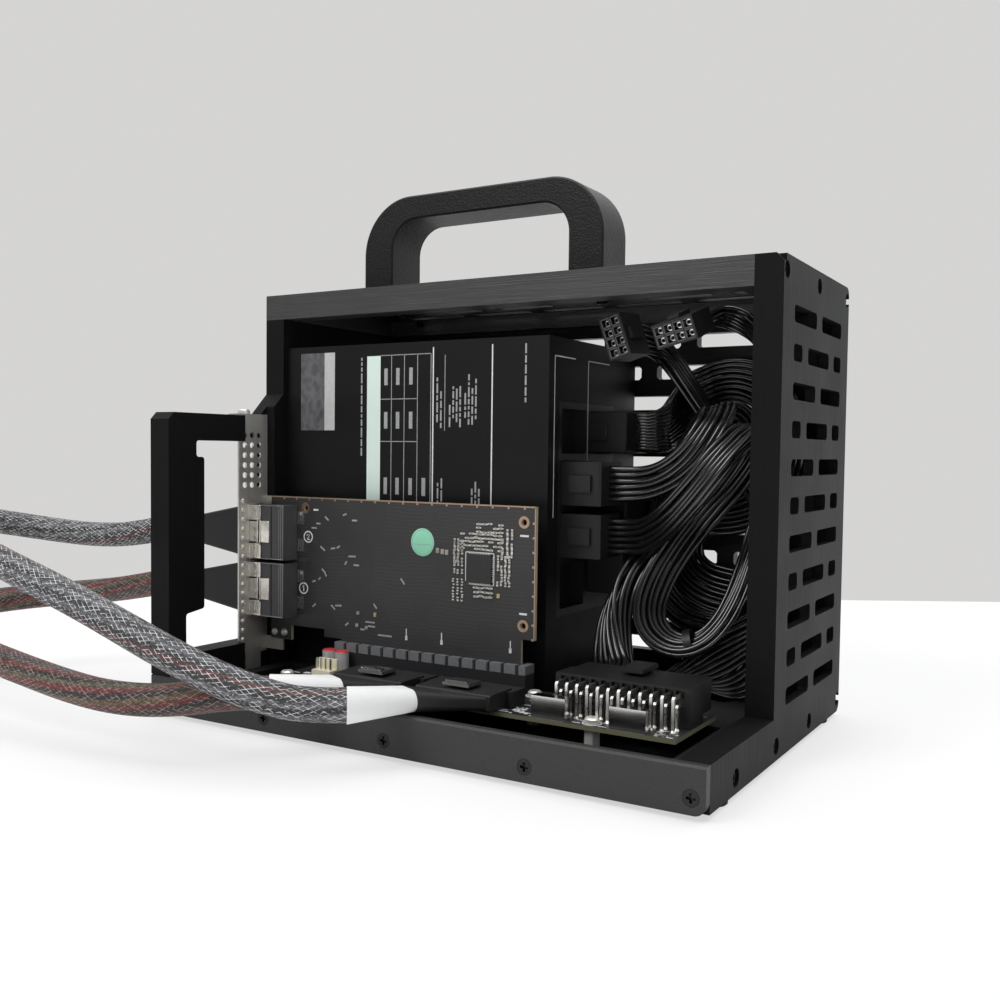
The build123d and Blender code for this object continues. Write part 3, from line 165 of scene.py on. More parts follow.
def strokes(plane, lines, width, lift=THIN):
    """Drawn lines as bricks: two neighbouring points give a brick's middle, its length and its lean."""
    ends = np.concatenate([np.stack([line[:-1], line[1:]], 1) for line in (np.asarray(line, float) for line in lines)])
    run = ends[:, 1] - ends[:, 0]
    length = np.linalg.norm(run, axis=1)
    size = np.c_[length + width, np.full(len(length), width)]
    return slabs(plane, ends.mean(1), size, lift, np.degrees(np.arctan2(run[:, 1], run[:, 0])))


print("bricks and drawn lines ready")

# %% Meshes into pieces
SHARP = np.radians(50)


def piece(name, mesh, material, body="enclosure", bevel=0, uv=None):
    """Object at the origin from points in millimetres and faces, with its finish and the body it rides."""
    points, faces = mesh
    data = bpy.data.meshes.new(name)
    data.from_pydata((np.asarray(points) * MM).tolist(), [], faces)
    data.polygons.foreach_set("use_smooth", np.ones(len(data.polygons), bool))
    data.set_sharp_from_angle(angle=SHARP)
    if uv is not None:
        data.uv_layers.new(name="along").uv.foreach_set("vector", uv.ravel())
    data.materials.append(material)
    made = placed(name, data)
    if bevel:
        edge = made.modifiers.new("edge", "BEVEL")
        edge.width, edge.segments, edge.limit_method = bevel * MM, 1, "ANGLE"
    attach(made, body)
    return made


def dress(material, *names):
    """Give CAD solids a finish through their own material slots."""
    for name in names:
        for held in solids[name].material_slots:
            held.material = material


def box_of(name):
    """Low and high corners of a CAD solid in millimetres."""
    return np.array(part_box(name)) / MM


print("piece helpers ready")

# %% [markdown]
# ## Shader arithmetic
# A finish is a small sum: so much grain, so much roughness. Wrapping a socket in a class with its own plus and
# times lets that sum be written as one, and the Math nodes appear behind it. Colours pass through Mix nodes,
# because a Math node would turn them grey.


# %% Signals
class Signal:
    """One output of a shader node. Arithmetic on it adds Math nodes; make() adds any other node."""

    def __init__(self, tree, socket=None):
        self.tree, self.socket = tree, socket

    def make(self, kind, settings=(), sockets=(), out=0):
        node = self.tree.nodes.new("ShaderNode" + kind)
        for name, value in dict(settings).items():
            if name == "stops":
                strip = node.color_ramp
                strip.interpolation = "CONSTANT"
                for place, _ in value[2:]:
                    strip.elements.new(place)
                for stop, (place, colour) in zip(strip.elements, value):
                    stop.position, stop.color = place, (*colour, 1)
            else:
                setattr(node, name, value)
        for name, value in dict(sockets).items():
            if isinstance(value, Signal):
                self.tree.links.new(value.socket, node.inputs[name])
            else:
                node.inputs[name].default_value = value
        return Signal(self.tree, node.outputs[out])

    def math(self, operation, *values):
        return self.make("Math", {"operation": operation}, dict(enumerate(values)))

    def __add__(self, other): return self.math("ADD", self, other)
    def __radd__(self, other): return self.math("ADD", other, self)
    def __sub__(self, other): return self.math("SUBTRACT", self, other)
    def __rsub__(self, other): return self.math("SUBTRACT", other, self)
    def __mul__(self, other): return self.math("MULTIPLY", self, other)
    def __rmul__(self, other): return self.math("MULTIPLY", other, self)
    def __gt__(self, other): return self.math("GREATER_THAN", self, other)
    def __lt__(self, other): return self.math("LESS_THAN", self, other)
    def __mod__(self, other): return self.math("FLOORED_MODULO", self, other)
    def __abs__(self): return self.math("ABSOLUTE", self)


print("signals ready")

# %% Colours, steps and noise
MIX_FIRST, MIX_SECOND, MIX_RESULT = 6, 7, 2


def mixed(factor, first, second):
    """Colour between two colours or colour signals: the second where the factor is one."""
    colours = {key: value if isinstance(value, Signal) else (*value, 1)
               for key, value in ((MIX_FIRST, first), (MIX_SECOND, second))}
    return factor.make("Mix", {"data_type": "RGBA"}, {0: factor, **colours}, MIX_RESULT)


def axes(vector):
    """The three parts of a vector signal."""
    first = vector.make("SeparateXYZ", {}, {0: vector})
    return [Signal(vector.tree, socket) for socket in first.socket.node.outputs]


def ramp(signal, low, high, start=0, end=1):
    """Smooth step from a start value, at the low mark, to an end value, at the high mark."""
    marks = dict(enumerate((signal, low, high, start, end)))
    return signal.make("MapRange", {"interpolation_type": "SMOOTHSTEP"}, marks)


def noise(place, scale, detail=2):
    """Cloudy value from nought to one; scale counts lumps to the metre, for all axes or for each."""
    if not np.isscalar(scale):
        place = place.make("VectorMath", {"operation": "MULTIPLY"}, {0: place, 1: scale})
        scale = 1
    return place.make("TexNoise", {}, {"Vector": place, "Scale": scale, "Detail": detail})


print("colours, steps and noise ready")


# %% Materials
def finish(name, colour, roughness, metallic=0, **constants):
    """Material with one Principled shader: its constants, then the shader and the place it is read at."""
    material = bpy.data.materials.new(name)
    material.use_nodes = True
    shader = material.node_tree.nodes["Principled BSDF"]
    constants.update({"Base Color": (*colour, 1), "Roughness": roughness, "Metallic": metallic})
    for socket, value in constants.items():
        shader.inputs[socket.replace("_", " ")].default_value = value
    place = Signal(material.node_tree).make("TexCoord", out="Object")
    return material, shader, place


def feed(shader, **signals):
    """Link signals to a shader's inputs by name."""
    for socket, signal in signals.items():
        signal.tree.links.new(signal.socket, shader.inputs[socket.replace("_", " ")])


def raised(height, distance, strength=1):
    """Bump of a height signal, its depth in millimetres, for a shader's Normal."""
    return height.make("Bump", {}, {"Height": height, "Distance": distance * MM, "Strength": strength})


def mottled(name, colour, rough, dark, pale, lumps, detail=2, metallic=0, spread=None):
    """Coat whose colour goes from dark to pale with one noise. A spread makes roughness a base plus a share of it."""
    material, shader, place = finish(name, colour, rough, metallic)
    cloud = noise(place, lumps, detail)
    feed(shader, Base_Color=mixed(cloud, dark, pale))
    if spread:
        feed(shader, Roughness=spread[0] + spread[1] * cloud)
    return material


print("materials ready")

# %% [markdown]
# ## Floor, world and light
# The photograph has a white table that ends close behind the case, a pale wall and soft light from above: tops and
# the right side catch it, and the fronts face a dim room. A wide sun lights everything evenly, and a soft box at the
# front left lifts the fronts. The world is a plain wall to the camera; to reflections it is pale above, dim in front.

# %% Table
far, wide, own_white = 0.845, 3, 0.6
paper, paper_shader, paper_place = finish("table_white", (0.9, 0.9, 0.895), 0.55)
feed(paper_shader, Roughness=0.5 + 0.1 * noise(paper_place, 6))
rays = paper_place.make("LightPath").socket.node.outputs
white = paper_place.make("Emission", {}, {"Color": (1, 1, 1, 1), "Strength": 1})
lifted = white.make("MixShader", {}, {0: Signal(white.tree, rays["Is Camera Ray"]) * own_white,
                                      1: Signal(white.tree, paper_shader.outputs[0]), 2: white})
white.tree.links.new(lifted.socket, white.tree.nodes["Material Output"].inputs["Surface"])
heading = ahead[:2] / np.linalg.norm(ahead[:2])
reach = np.array([[far, -wide], [far, wide], [-wide, wide], [-wide, -wide]])
corners = eye[:2] + reach[:, :1] * heading + reach[:, 1:] * level[:2]
sheet = bpy.data.meshes.new("table_top")
sheet.from_pydata(np.c_[corners, np.zeros(4)].tolist(), [], [(3, 2, 1, 0)])
sheet.materials.append(paper)
table = placed("table_top", sheet)
print("table ends", far, "m ahead of the camera")

# %% World
world = bpy.data.worlds.new("room")
bpy.context.scene.world = world
world.use_nodes = True
air = Signal(world.node_tree)
rays = air.make("LightPath").socket.node.outputs
seen, glossy, through = [Signal(air.tree, rays[kind]) for kind in
                         ("Is Camera Ray", "Is Glossy Ray", "Is Transmission Ray")]
bright_side = (0.3, 0.8, 0.7)
way = air.make("TexCoord", out="Generated")
facing = way.make("VectorMath", {"operation": "DOT_PRODUCT"}, {0: way, 1: bright_side}, "Value")
glow, wall, room = [air.make("Background", {}, {"Color": (*colour, 1), "Strength": strength}) for colour, strength in (
    ((0.97, 0.98, 1), 0.5), ((0.665, 0.66, 0.655), 1), ((0.98, 0.99, 1), ramp(facing, -0.45, 0.55, 0.07, 0.95)))]
mirrored = air.make("MixShader", {}, {0: glossy.math("MAXIMUM", glossy, through), 1: glow, 2: room})
shown = air.make("MixShader", {}, {0: seen, 1: mirrored, 2: wall})
air.tree.links.new(shown.socket, world.node_tree.nodes["World Output"].inputs["Surface"])
print("world ready")


# %% Lamps
def lamp(name, kind, energy, aim, place=(0, 0, 0)):
    """Lamp at a place that shines along a direction."""
    light = bpy.data.lights.new(name, kind)
    light.energy = energy
    holder = placed(name, light)
    holder.location = place
    holder.rotation_euler = Vector(aim).to_track_quat("-Z", "Y").to_euler()
    return light


sun = lamp("window", "SUN", 1.8, (-0.1, -0.25, -0.96))
sun.angle = 1.2
soft_box = lamp("soft_box", "AREA", 9, (0.42, 0.93, -0.95), (-0.45, -0.95, 1.05))
soft_box.size = 0.7
print("sun and soft box ready")

# %% [markdown]
# ## Routes of the cords
# A cord is a fixed length of something flexible. Its route is a short list of control points, the same as in the
# CAD model. They pull a NURBS spline of order three into shape, which has no kinks. Reading the finished spline back
# as points gives the line that the braid and the wires then follow.


# %% Read a route's spline
def route(name, control):
    """Points in millimetres along the NURBS spline that has these control points."""
    control = np.asarray(control, float)
    line = bpy.data.curves.new(name, "CURVE")
    line.dimensions = "3D"
    spline = line.splines.new("NURBS")
    spline.points.add(len(control) - 1)
    spline.points.foreach_set("co", np.c_[control, np.ones(len(control))].ravel())
    spline.order_u = 3
    spline.use_endpoint_u = True
    spline.resolution_u = 8
    holder = bpy.data.objects.new(name, line)
    read = bpy.data.meshes.new_from_object(holder)
    points = np.empty(3 * len(read.vertices))
    read.vertices.foreach_get("co", points)
    bpy.data.objects.remove(holder)
    bpy.data.curves.remove(line)
    bpy.data.meshes.remove(read)
    return points.reshape(-1, 3)


def along(points):
    """Distance from the start of a line to each of its points."""
    return np.r_[0, np.cumsum(np.linalg.norm(np.diff(points, axis=0), axis=1))]


def headings(points):
    """Direction of a line at each point: the step between its neighbours, made one long."""
    steps = np.gradient(points, axis=0)
    return steps / np.linalg.norm(steps, axis=1)[:, None]


def carried(points, first):
    """Two directions square to a line at each point: the first loses at every step only what lies along the line,
    so it never twists, and the second is square to both."""
    steps = headings(points)
    normal, normals = np.asarray(first, float), []
    for step in steps:
        normal = normal - step * (step @ normal)
        normal = normal / np.linalg.norm(normal)
        normals.append(normal)
    normals = np.array(normals)
    return normals, np.cross(steps, normals)


print("routes can be read")

# %% Control points
host_a = [(-157, -27.5, 76.2), (-169, -27.5, 76.2), (-182, -27.7, 74.4), (-198, -28, 71.8), (-214, -28.7, 70),
          (-231, -31, 69.4), (-247, -36.5, 70.5), (-260, -46, 73), (-268.5, -59, 76), (-272, -74.5, 79),
          (-269, -90, 81), (-260, -104, 82), (-246, -115, 82), (-228, -122.5, 80.5), (-208, -127.5, 78),
          (-186, -130.5, 74.5), (-162, -132.5, 69.5), (-136, -134, 63.5), (-110, -134.8, 57), (-84, -134.8, 49.5),
          (-60, -133, 41.5), (-40, -129.5, 34.5), (-24, -123.7, 29), (-10.99, -115.64, 25.2), (0.5, -106, 25.2)]
host_b = [(-157, -27.5, 49.6), (-169, -27.5, 49.6), (-182, -27.7, 47.6), (-197, -28, 44.8), (-213, -29, 42),
          (-229, -32.5, 39.8), (-243, -39.5, 38.2), (-253.5, -50, 37), (-260, -63.5, 36.2), (-261, -78.5, 35.6),
          (-256.5, -93, 35), (-247, -105.5, 34.2), (-233.5, -115, 33.2), (-216, -121.5, 32), (-196, -125.5, 30),
          (-174, -128, 27.5), (-148, -129, 24.3), (-121, -129.3, 21.5), (-97, -128.9, 20.2), (-77, -126.7, 20.6),
          (-60.5, -122.6, 22.6), (-47.49, -115.64, 25.2), (-36, -106, 25.2)]
lead_a = [(46, 12, 102), (55, 12, 102), (64.5, 11, 103), (73.5, 9, 106.5), (81.5, 8, 112.5), (87.5, 8.6, 120.5),
          (91, 12.4, 128.5), (90.8, 19.2, 133.6), (86.8, 26, 133.4), (80.5, 32, 128.6), (72.5, 37.6, 119.8),
          (64, 42.6, 108.6), (56.4, 47.4, 96), (50.4, 52.2, 82.6), (47, 56.6, 69.4), (47.6, 60.2, 56.8),
          (52.8, 63, 46.4), (62, 64.6, 39.6), (73.4, 65.2, 37.4), (84.6, 64.8, 40.8), (93.6, 63.6, 49),
          (98.8, 62, 60.2), (99.6, 60.8, 73), (96.6, 60, 86.6), (90.6, 59.6, 100.2), (83, 59.2, 113.4),
          (75, 58.6, 125.8), (67.6, 57.6, 137.2), (61.4, 55.2, 147.6), (56.6, 50.8, 156.4), (53.2, 43.6, 162.4),
          (51, 31.93, 164.59), (51, 21.95, 163.9)]
lead_b = [(46, 12, 80), (54, 12, 80), (62, 8.8, 81), (70, 3.8, 84.5), (78, -0.8, 90), (85.4, -3.8, 97),
          (92, -4.6, 105), (98, -3.2, 113), (103.2, 0.8, 120), (106.8, 7.2, 124.6), (107.6, 14.8, 125.2),
          (105.2, 21.4, 121.6), (101, 25, 115), (96, 25.6, 107.6), (90.8, 24.2, 100.2), (85.2, 21.4, 92.4),
          (79.2, 18, 84), (73.4, 14.6, 74.8), (68.6, 11.2, 65), (65.6, 8.4, 54.8), (66.4, 6.6, 45.8),
          (72.2, 5.8, 39.6), (80.6, 5.8, 37.4), (88.8, 7.2, 40), (95.2, 10.4, 47), (99.6, 14.6, 57),
          (102.6, 19, 69), (104.8, 23.6, 82), (106.2, 28, 95.6), (106.8, 32, 109.6), (106.6, 35.6, 123.6),
          (105.8, 39, 137), (103.8, 42.6, 149.4), (100, 46.6, 160), (94.4, 50, 167.6), (87.8, 51, 172),
          (81.8, 48, 174.4), (78.2, 42, 174.2), (77, 32.76, 171.82), (77, 21.23, 168.51)]
harness = [(46, 38, 66), (55, 38, 66), (61.8, 35.6, 68), (64, 28.8, 70), (61, 21.6, 69.4), (56.6, 15.2, 65),
           (53.2, 9.8, 57.4), (51.8, 5.8, 48.4), (52.4, 2.4, 39.4), (54.6, -2.2, 31.6), (58.5, -8, 25.7),
           (58.5, -17, 25.7)]
lines = {name: route(name, control) for name, control in
         (("host_a", host_a), ("host_b", host_b), ("lead_a", lead_a), ("lead_b", lead_b), ("harness", harness))}
print({name: round(along(points)[-1], 1) for name, points in lines.items()})

# %% [markdown]
# ## Braided host cables
# Each cable is a bunch of coloured wires in an open mesh sleeve. Weaving the mesh thread by thread would take
# more faces than the whole case, so the tube carries the sleeve's lumps and the weave is drawn on its own map:
# threads where two slanted waves peak, wire colours in the gaps between them, and painted highlights in short
# dashes along the threads and where they cross.


# %% Braid finish
def braid(name, thread, wires, highlight_colour):
    """Open mesh over wires: threads where two slanted waves peak, with painted highlights in dashes and at crossings.
    """
    material, shader, place = finish(name, thread, 0.5, Specular_IOR_Level=0.45)
    spot = place.make("UVMap", {"uv_map": "along"})
    run, round_, _ = axes(spot)
    threads, bright = 22, 0.75
    waves = [1 - abs(((run * 0.5 + lean * round_) * threads % 1) * 2 - 1) for lean in (1, -1)]
    crest = waves[0].math("MAXIMUM", *waves)
    cover = ramp(crest, 0.66, 0.84)
    around = (round_ * 2 + run * 0.22) % 1
    stripes = around.make("ValToRGB", {"stops": wires}, {0: around})
    between = mixed(noise(spot, 14, 3) * 0.6, stripes, (0.02, 0.02, 0.02))
    # Painted highlights: pale dashes along the thread crests and glints where two threads cross, in the highlight
    # colour.
    dash_highlight = ramp(crest, 0.78, 0.94) * ramp(noise(spot, (9, 26, 1), 2), 0.43, 0.56)
    crossing_highlight = ramp(waves[0] * waves[1], 0.45, 0.7) * ramp(noise(spot, 46, 1), 0.56, 0.68)
    lit = mixed(dash_highlight * bright, mixed(cover, between, thread), highlight_colour)
    feed(shader, Base_Color=mixed(crossing_highlight * bright, lit, highlight_colour), Normal=raised(crest, 0.35, 0.8),
         Roughness=0.58 - 0.2 * cover)
    return material


DARK, DIM = (0.03, 0.03, 0.03), (0.04, 0.04, 0.04)
grey_wires = [(0, DARK), (0.12, (0.18, 0.18, 0.19)), (0.25, DIM), (0.38, (0.14, 0.14, 0.16)), (0.5, DARK),
              (0.62, (0.15, 0.04, 0.035)), (0.72, DIM), (0.86, (0.17, 0.17, 0.18))]
red_wires = [(0, (0.24, 0.03, 0.02)), (0.12, DARK), (0.24, (0.17, 0.11, 0.04)), (0.36, (0.22, 0.03, 0.02)),
             (0.48, (0.04, 0.035, 0.03)), (0.6, (0.1, 0.07, 0.065)), (0.7, (0.26, 0.035, 0.025)),
             (0.8, (0.03, 0.04, 0.02)), (0.9, (0.15, 0.12, 0.06))]
# Each braid's last colour is the colour of its painted highlights.
braid_grey = braid("braid_grey", (0.024, 0.024, 0.027), grey_wires, (0.8, 0.8, 0.81))
braid_red = braid("braid_red", (0.026, 0.021, 0.021), red_wires, (0.42, 0.31, 0.3))
print("two braid finishes")


# %% Braided tubes
def braided(points, diameter, sides=40):
    """Round tube along a line whose radius swells a little over the wires inside: radius times one plus a small
    cosine that winds slowly round the cable. The map counts turns along it and one turn round it."""
    swell, lobes, wind = 0.025, 5, 0.06
    first, second = carried(points, Z)
    distance = along(points)
    angle = np.linspace(0, 2 * np.pi, sides, endpoint=False)
    radius = diameter / 2 * (1 + swell * np.cos(lobes * angle + distance[:, None] * wind))
    grid = points[:, None] + radius[..., None] * (np.cos(angle)[:, None] * first[:, None]
                                                  + np.sin(angle)[:, None] * second[:, None])
    run = distance / (np.pi * diameter)
    row, column = np.meshgrid(np.arange(len(points) - 1), np.arange(sides), indexing="ij")
    corner = [(row, column), (row, column + 1), (row + 1, column + 1), (row + 1, column)]
    uv = np.stack([np.stack([run[r], c / sides], -1) for r, c in corner], 2).reshape(-1, 2)
    return skin(grid), np.concatenate([uv, np.zeros((2 * sides, 2))])


CORD = 12.4
for which, cover, slot in (("a", braid_grey, "braid_grey"), ("b", braid_red, "braid_red")):
    points = lines["host_" + which]
    mesh, uv = braided(points, CORD)
    made = piece("host_braid_" + which, mesh, cover, uv=uv)
    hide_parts("host_cable_" + which)
    "card_plug_" + which
    "link_sleeve_" + which
    "link_plug_" + which
    print("braid", which, round(along(points)[-1]), "mm long")

# %% [markdown]
# ## Power leads and harness
# These are bunches of separate black wires, not one thick cord. Every wire keeps its own place in the bunch and
# wanders a little; near a plug the wires spread to the pitch of its ways. One array holds all the wires, and
# each wire is a thin round tube along its own line.


# %% Wire finish
wire_black, shader, place = finish("wire_black", (0.008, 0.008, 0.0085), 0.2, Specular_IOR_Level=0.9)
feed(shader, Roughness=0.15 + 0.12 * noise(place, 400), Normal=raised(noise(place, 900), 0.05, 0.4))
print("wire finish")


# %% Directions of a bunch
def turning(points, first, last):
    """Two directions square to a line that turn evenly round it, so that the wide one starts along one given direction
    and ends along another."""
    one, two = carried(points, first)
    twist = (np.arctan2(last @ two[-1], last @ one[-1]) * along(points) / along(points)[-1])[:, None]
    return np.cos(twist) * one + np.sin(twist) * two, np.cos(twist) * two - np.sin(twist) * one


def laid(points, turns):
    """Two directions square to a line: the thin one stays as near as it can to a direction that moves from one given
    direction to the next at given shares of the length, and the wide one is square to it."""
    steps = headings(points)
    at, wanted = zip(*turns)
    thin = np.stack([np.interp(along(points) / along(points)[-1], at, part) for part in np.transpose(wanted)], -1)
    thin -= steps * (thin * steps).sum(1)[:, None]
    thin /= np.linalg.norm(thin, axis=1)[:, None]
    return np.cross(thin, steps), thin


print("two ways to lay a bunch")


# %% Wire bundles
def wires(points, directions, ways, tight, spread, gauge, run_in, wander):
    """Wires round a line. A wire's offset goes from its way in the plug to its place in the bunch and back, by a
    smooth step over run_in at both ends, plus a slow sine of its own. The offset is counted along the bunch's two
    directions, its wide one first, and a tube of the wire's gauge follows it."""
    slow, quick, share, sides = 0.045, 0.1, 0.6, 8
    distance = along(points)
    near = np.minimum(distance, distance[-1] - distance)
    ease = np.clip(near / run_in, 0, 1)
    ease = (ease * ease * (3 - 2 * ease))[:, None, None]
    place = np.asarray(ways, float) * (np.asarray(tight) * ease + spread * (1 - ease))
    phase = chance.uniform(0, 2 * np.pi, (2, len(ways), 2))
    run = distance[:, None, None]
    place = place + wander * ease * (np.sin(run * slow + phase[0]) + share * np.sin(run * quick + phase[1]))
    one, two = directions
    middle = points[:, None] + place[..., :1] * one[:, None] + place[..., 1:] * two[:, None]
    angle = np.linspace(0, 2 * np.pi, sides, endpoint=False)
    circle = np.cos(angle)[:, None] * one[:, None] + np.sin(angle)[:, None] * two[:, None]
    tubes = middle[:, :, None] + gauge / 2 * circle[:, None]
    return joined([skin(tubes[:, wire]) for wire in range(len(ways))])


def tilt(about_x, about_y):
    """Directions of a part that is turned about its own X axis, then its own Y axis, in degrees."""
    return np.array(Matrix.Rotation(np.radians(about_x), 3, "X") @ Matrix.Rotation(np.radians(about_y), 3, "Y"))


def ways_of(columns, rows):
    """Places of a plug's ways from its middle, row by row, counted in pitches."""
    return [(column - (columns - 1) / 2, row - (rows - 1) / 2) for row in range(rows) for column in range(columns)]


print("wire bundles ready")

# %% Leads and harness
PIN = 4.2
LEAD, BUNCH, WIRE = 10, 14, 2.3
loose_places = {"a": (np.array([51, 2, 162.5]), tilt(4, 73)), "b": (np.array([77, 2, 163]), tilt(16, -13))}
for which, (_, turn_of) in loose_places.items():
    points = lines["lead_" + which]
    mesh = wires(points, turning(points, Z, turn_of[:, 0]), ways_of(6, 2), tight=(2.35, 2.5), spread=0.6 * PIN,
                 gauge=WIRE, run_in=26, wander=0.35)
    made = piece("lead_wires_" + which, mesh, wire_black)
    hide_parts("lead_" + which)
    "loose_plug_" + which
points = lines["harness"]
mesh = wires(points, turning(points, Z, X), ways_of(6, 4), tight=(2.5, 2.4), spread=2.6,
             gauge=WIRE, run_in=20, wander=0.4)
made = piece("harness_wires", mesh, wire_black)
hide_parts("harness")
print("three bundles of wires")

# %% [markdown]
# ## Black case
# The panels are black with fine machine lines, the front bar is sandier and the handle has the coarsest grain. A
# painted picture could fake this, but noise stretched along one axis gives lines of any length without a map, and
# a bump from the same noise lets the light from above run along them. The top panel is painted paler than the
# rest, as painted light for the light its lines catch from above.


# %% Case finishes
def black(name, shade, lumps, depth, rough, spec=0.35):
    """Black skin: a little paler on its lumps, rougher in between, raised by the same noise."""
    material, shader, place = finish(name, (shade, shade, shade * 1.06), rough, Specular_IOR_Level=spec)
    grain = noise(place, lumps, 3)
    cloud = noise(place, 35)
    dark, pale = (shade * 0.75,) * 3, (shade * 1.3, shade * 1.3, shade * 1.36)
    feed(shader, Base_Color=mixed(grain * 0.6 + cloud * 0.4, dark, pale), Normal=raised(grain, depth, 0.7),
         Roughness=rough - 0.1 + 0.14 * cloud + 0.1 * grain)
    return material


LEVEL, UPRIGHT = (30, 30, 1700), (1100, 1100, 60)
for name, shade, lumps, depth, rough, spec, *nodes in (
        # The top panel shares the rear panel's print but is painted about four times paler: painted light for the
        # overhead light its lines catch.
        ("top_level_lines", 0.036, LEVEL, 0.22, 0.38, 0.6, "top_panel"),
        ("panel_level_lines", 0.008, LEVEL, 0.16, 0.45, 0.3, "rear_panel", "base_tray"),
        ("panel_upright_lines", 0.006, UPRIGHT, 0.2, 0.5, 0.11, "left_panel", "right_panel"),
        ("bar_sandy", 0.0225, 950, 0.38, 0.48, 0.5, "front_bar"),
        ("handle_coarse", 0.0065, 1050, 0.4, 0.42, 0.28, "carry_handle"),
        ("foot_rubber", 0.016, 600, 0.05, 0.85, 0.35, "rubber_feet"),
        ("powder_coat", 0.0055, 2200, 0.03, 0.45, 0.22, "psu_chassis", "psu_lid"),
        ("guard_wire", 0.02, 500, 0.02, 0.3, 0.5, "psu_fan_grille"),
        ("fan_moulding", 0.014, 300, 0.03, 0.38, 0.35, "psu_fan_frame", "psu_fan_rotor")):
    dress(black(name, shade, lumps, depth, rough, spec), *nodes)
print("case finishes")

# %% [markdown]
# ## Moulded plastics
# Plugs and sockets are moulded nylon: satin, with a faint orange peel. The long slot has grey blocks along its lips
# above a black body, so its colour changes at a height. The colour follows the Z coordinate, which keeps one
# solid in one piece.

# %% Moulded black
moulded = black("moulded_black", 0.012, 800, 0.04, 0.42, 0.4)
dress(moulded, "power_header", "power_plug", "power_plug_latch", "psu_plug_a", "psu_plug_b", "psu_plug_long",
      "psu_socket_panel", "psu_inlet", "psu_switch_bezel", "psu_switch", "loose_plug_a", "loose_plug_b", "cable_tie")
dress(black("plug_grey_black", 0.013, 1300, 0.08, 0.5, 0.35), "link_plug_a", "link_plug_b", "link_socket_a",
      "link_socket_b", "card_plug_a", "card_plug_b")
dress(black("port_housing", 0.075, 500, 0.03, 0.5), "card_port_a", "card_port_b")
dress(black("chip_resin", 0.03, 1800, 0.02, 0.4), "card_chip")
print("moulded finishes")

# %% Long slot
block, face_share, lip = 6.843, 0.8, 3.7
slot_low, slot_high = box_of("pcie_slot")
slot_grey, shader, place = finish("slot_grey", (0.13, 0.135, 0.14), 0.5)
speck = noise(place, 900)
across, _, height = axes(place)
grey = mixed(speck, (0.12, 0.125, 0.13), (0.2, 0.205, 0.21))
count = (across - slot_low[0] * MM) * (1 / (block * MM))
block_face = (height > (slot_high[2] - lip) * MM) * (count % 1 < face_share)
feed(shader, Base_Color=mixed(block_face, (0.018, 0.018, 0.02), grey),
     Roughness=0.42 + 0.16 * speck, Normal=raised(speck, 0.04, 0.5))
dress(slot_grey, "pcie_slot")
print("slot blocks every", block, "mm")

# %% White sleeves
sleeve_white, shader, place = finish("sleeve_white", (0.94, 0.94, 0.935), 0.5)
crease = noise(place, (60, 240, 240), 3)
feed(shader, Base_Color=mixed(crease, (0.92, 0.92, 0.915), (0.97, 0.97, 0.965)), Roughness=0.42 + 0.16 * crease,
     Normal=raised(crease, 0.25, 0.5))
dress(sleeve_white, "link_sleeve_a", "link_sleeve_b")
print("sleeve finish")

# %% Fan header
post_depth, post_foot = 1.5, 2.65
head_low, head_high = box_of("fan_header")
header_cream, shader, place = finish("header_cream", (0.8, 0.74, 0.55), 0.45)
_, depth_of, height = axes(place)
post = (depth_of < (head_high[1] - post_depth) * MM) * (height > (head_low[2] + post_foot) * MM)
nylon = noise(place, 500)
feed(shader, Base_Color=mixed(post, mixed(nylon, (0.74, 0.68, 0.5), (0.86, 0.8, 0.62)), (0.78, 0.76, 0.7)),
     Metallic=post, Roughness=0.46 - 0.2 * post)
dress(header_cream, "fan_header")
print("fan header finish")

# %% [markdown]
# ## Second branch of the harness
# A 24 way harness parts into two near the power supply, and its second branch fills the back of the bay. Its wide
# side lies flat on the rear panel in an S, whose turns are wider than half the bunch, so that the inner wires don't
# fold. It turns over on the way to the dock board. The plug is a moulded brick with a latch ridge.

# %% Harness branch
branch = [(46, 38, 124), (52, 38, 124), (57, 42.5, 125), (57.5, 52, 129), (59, 64, 135.5), (64, 73.5, 140.5),
          (75.5, 73.5, 145), (88, 73.5, 142), (95.5, 73.5, 131), (96, 73.5, 117), (93, 73.5, 103), (82, 73.5, 92.5),
          (62.5, 73.5, 91.5), (51, 73.5, 80), (51, 73.5, 63), (62.5, 73.5, 51.5), (79, 73.5, 48), (94, 73, 47),
          (103, 67, 45.5), (105, 54, 42.5), (103.5, 41, 38), (99, 28, 32), (93, 15.5, 26.5), (88, 4, 24.5),
          (86, -7, 25.5), (86, -17, 25.7)]
points = route("branch", branch)
staggered = [(column - 5.75 + row / 2, row - 0.5) for row in range(2) for column in range(12)]
flat = laid(points, [(0, Y), (0.01, Y), (0.055, -X), (0.1, -X), (0.16, Y), (0.68, Y), (0.75, X), (0.81, X), (1, Z)])
mesh = wires(points, flat, staggered, tight=(2.35, 2.4), spread=1.3, gauge=WIRE, run_in=40, wander=0.3)
made = piece("branch_wires", mesh, wire_black)
SOCKET = (X * 22, Y, Z)
body_and_latch = [(38, 124, 22.8, 18.4, 24), (38, 124, 24.6, 8, 15)]
plug = piece("branch_plug", listed(SOCKET, body_and_latch), moulded, bevel=0.6)
print("branch", round(along(points)[-1]), "mm long")

# %% [markdown]
# ## Metals
# Plated sheet keeps the marks of the roll it came from, so its roughness has long streaks. Pins and cans are tinned
# and show soft smudges. A metal's look is mostly what it mirrors: pale from above, dim from the front.


# %% Metal finishes
def plated(name, colour, lumps, smooth, rough, depth=0.02, metal=1):
    """Plated metal: its roughness moves between two values with streaks or smudges of the given lumps."""
    material, shader, place = finish(name, colour, smooth, metal)
    smudge = noise(place, lumps, 3)
    worn = tuple(0.8 * part for part in colour)
    feed(shader, Base_Color=mixed(smudge, worn, colour), Roughness=smooth + (rough - smooth) * smudge,
         Normal=raised(smudge, depth, 0.5))
    return material


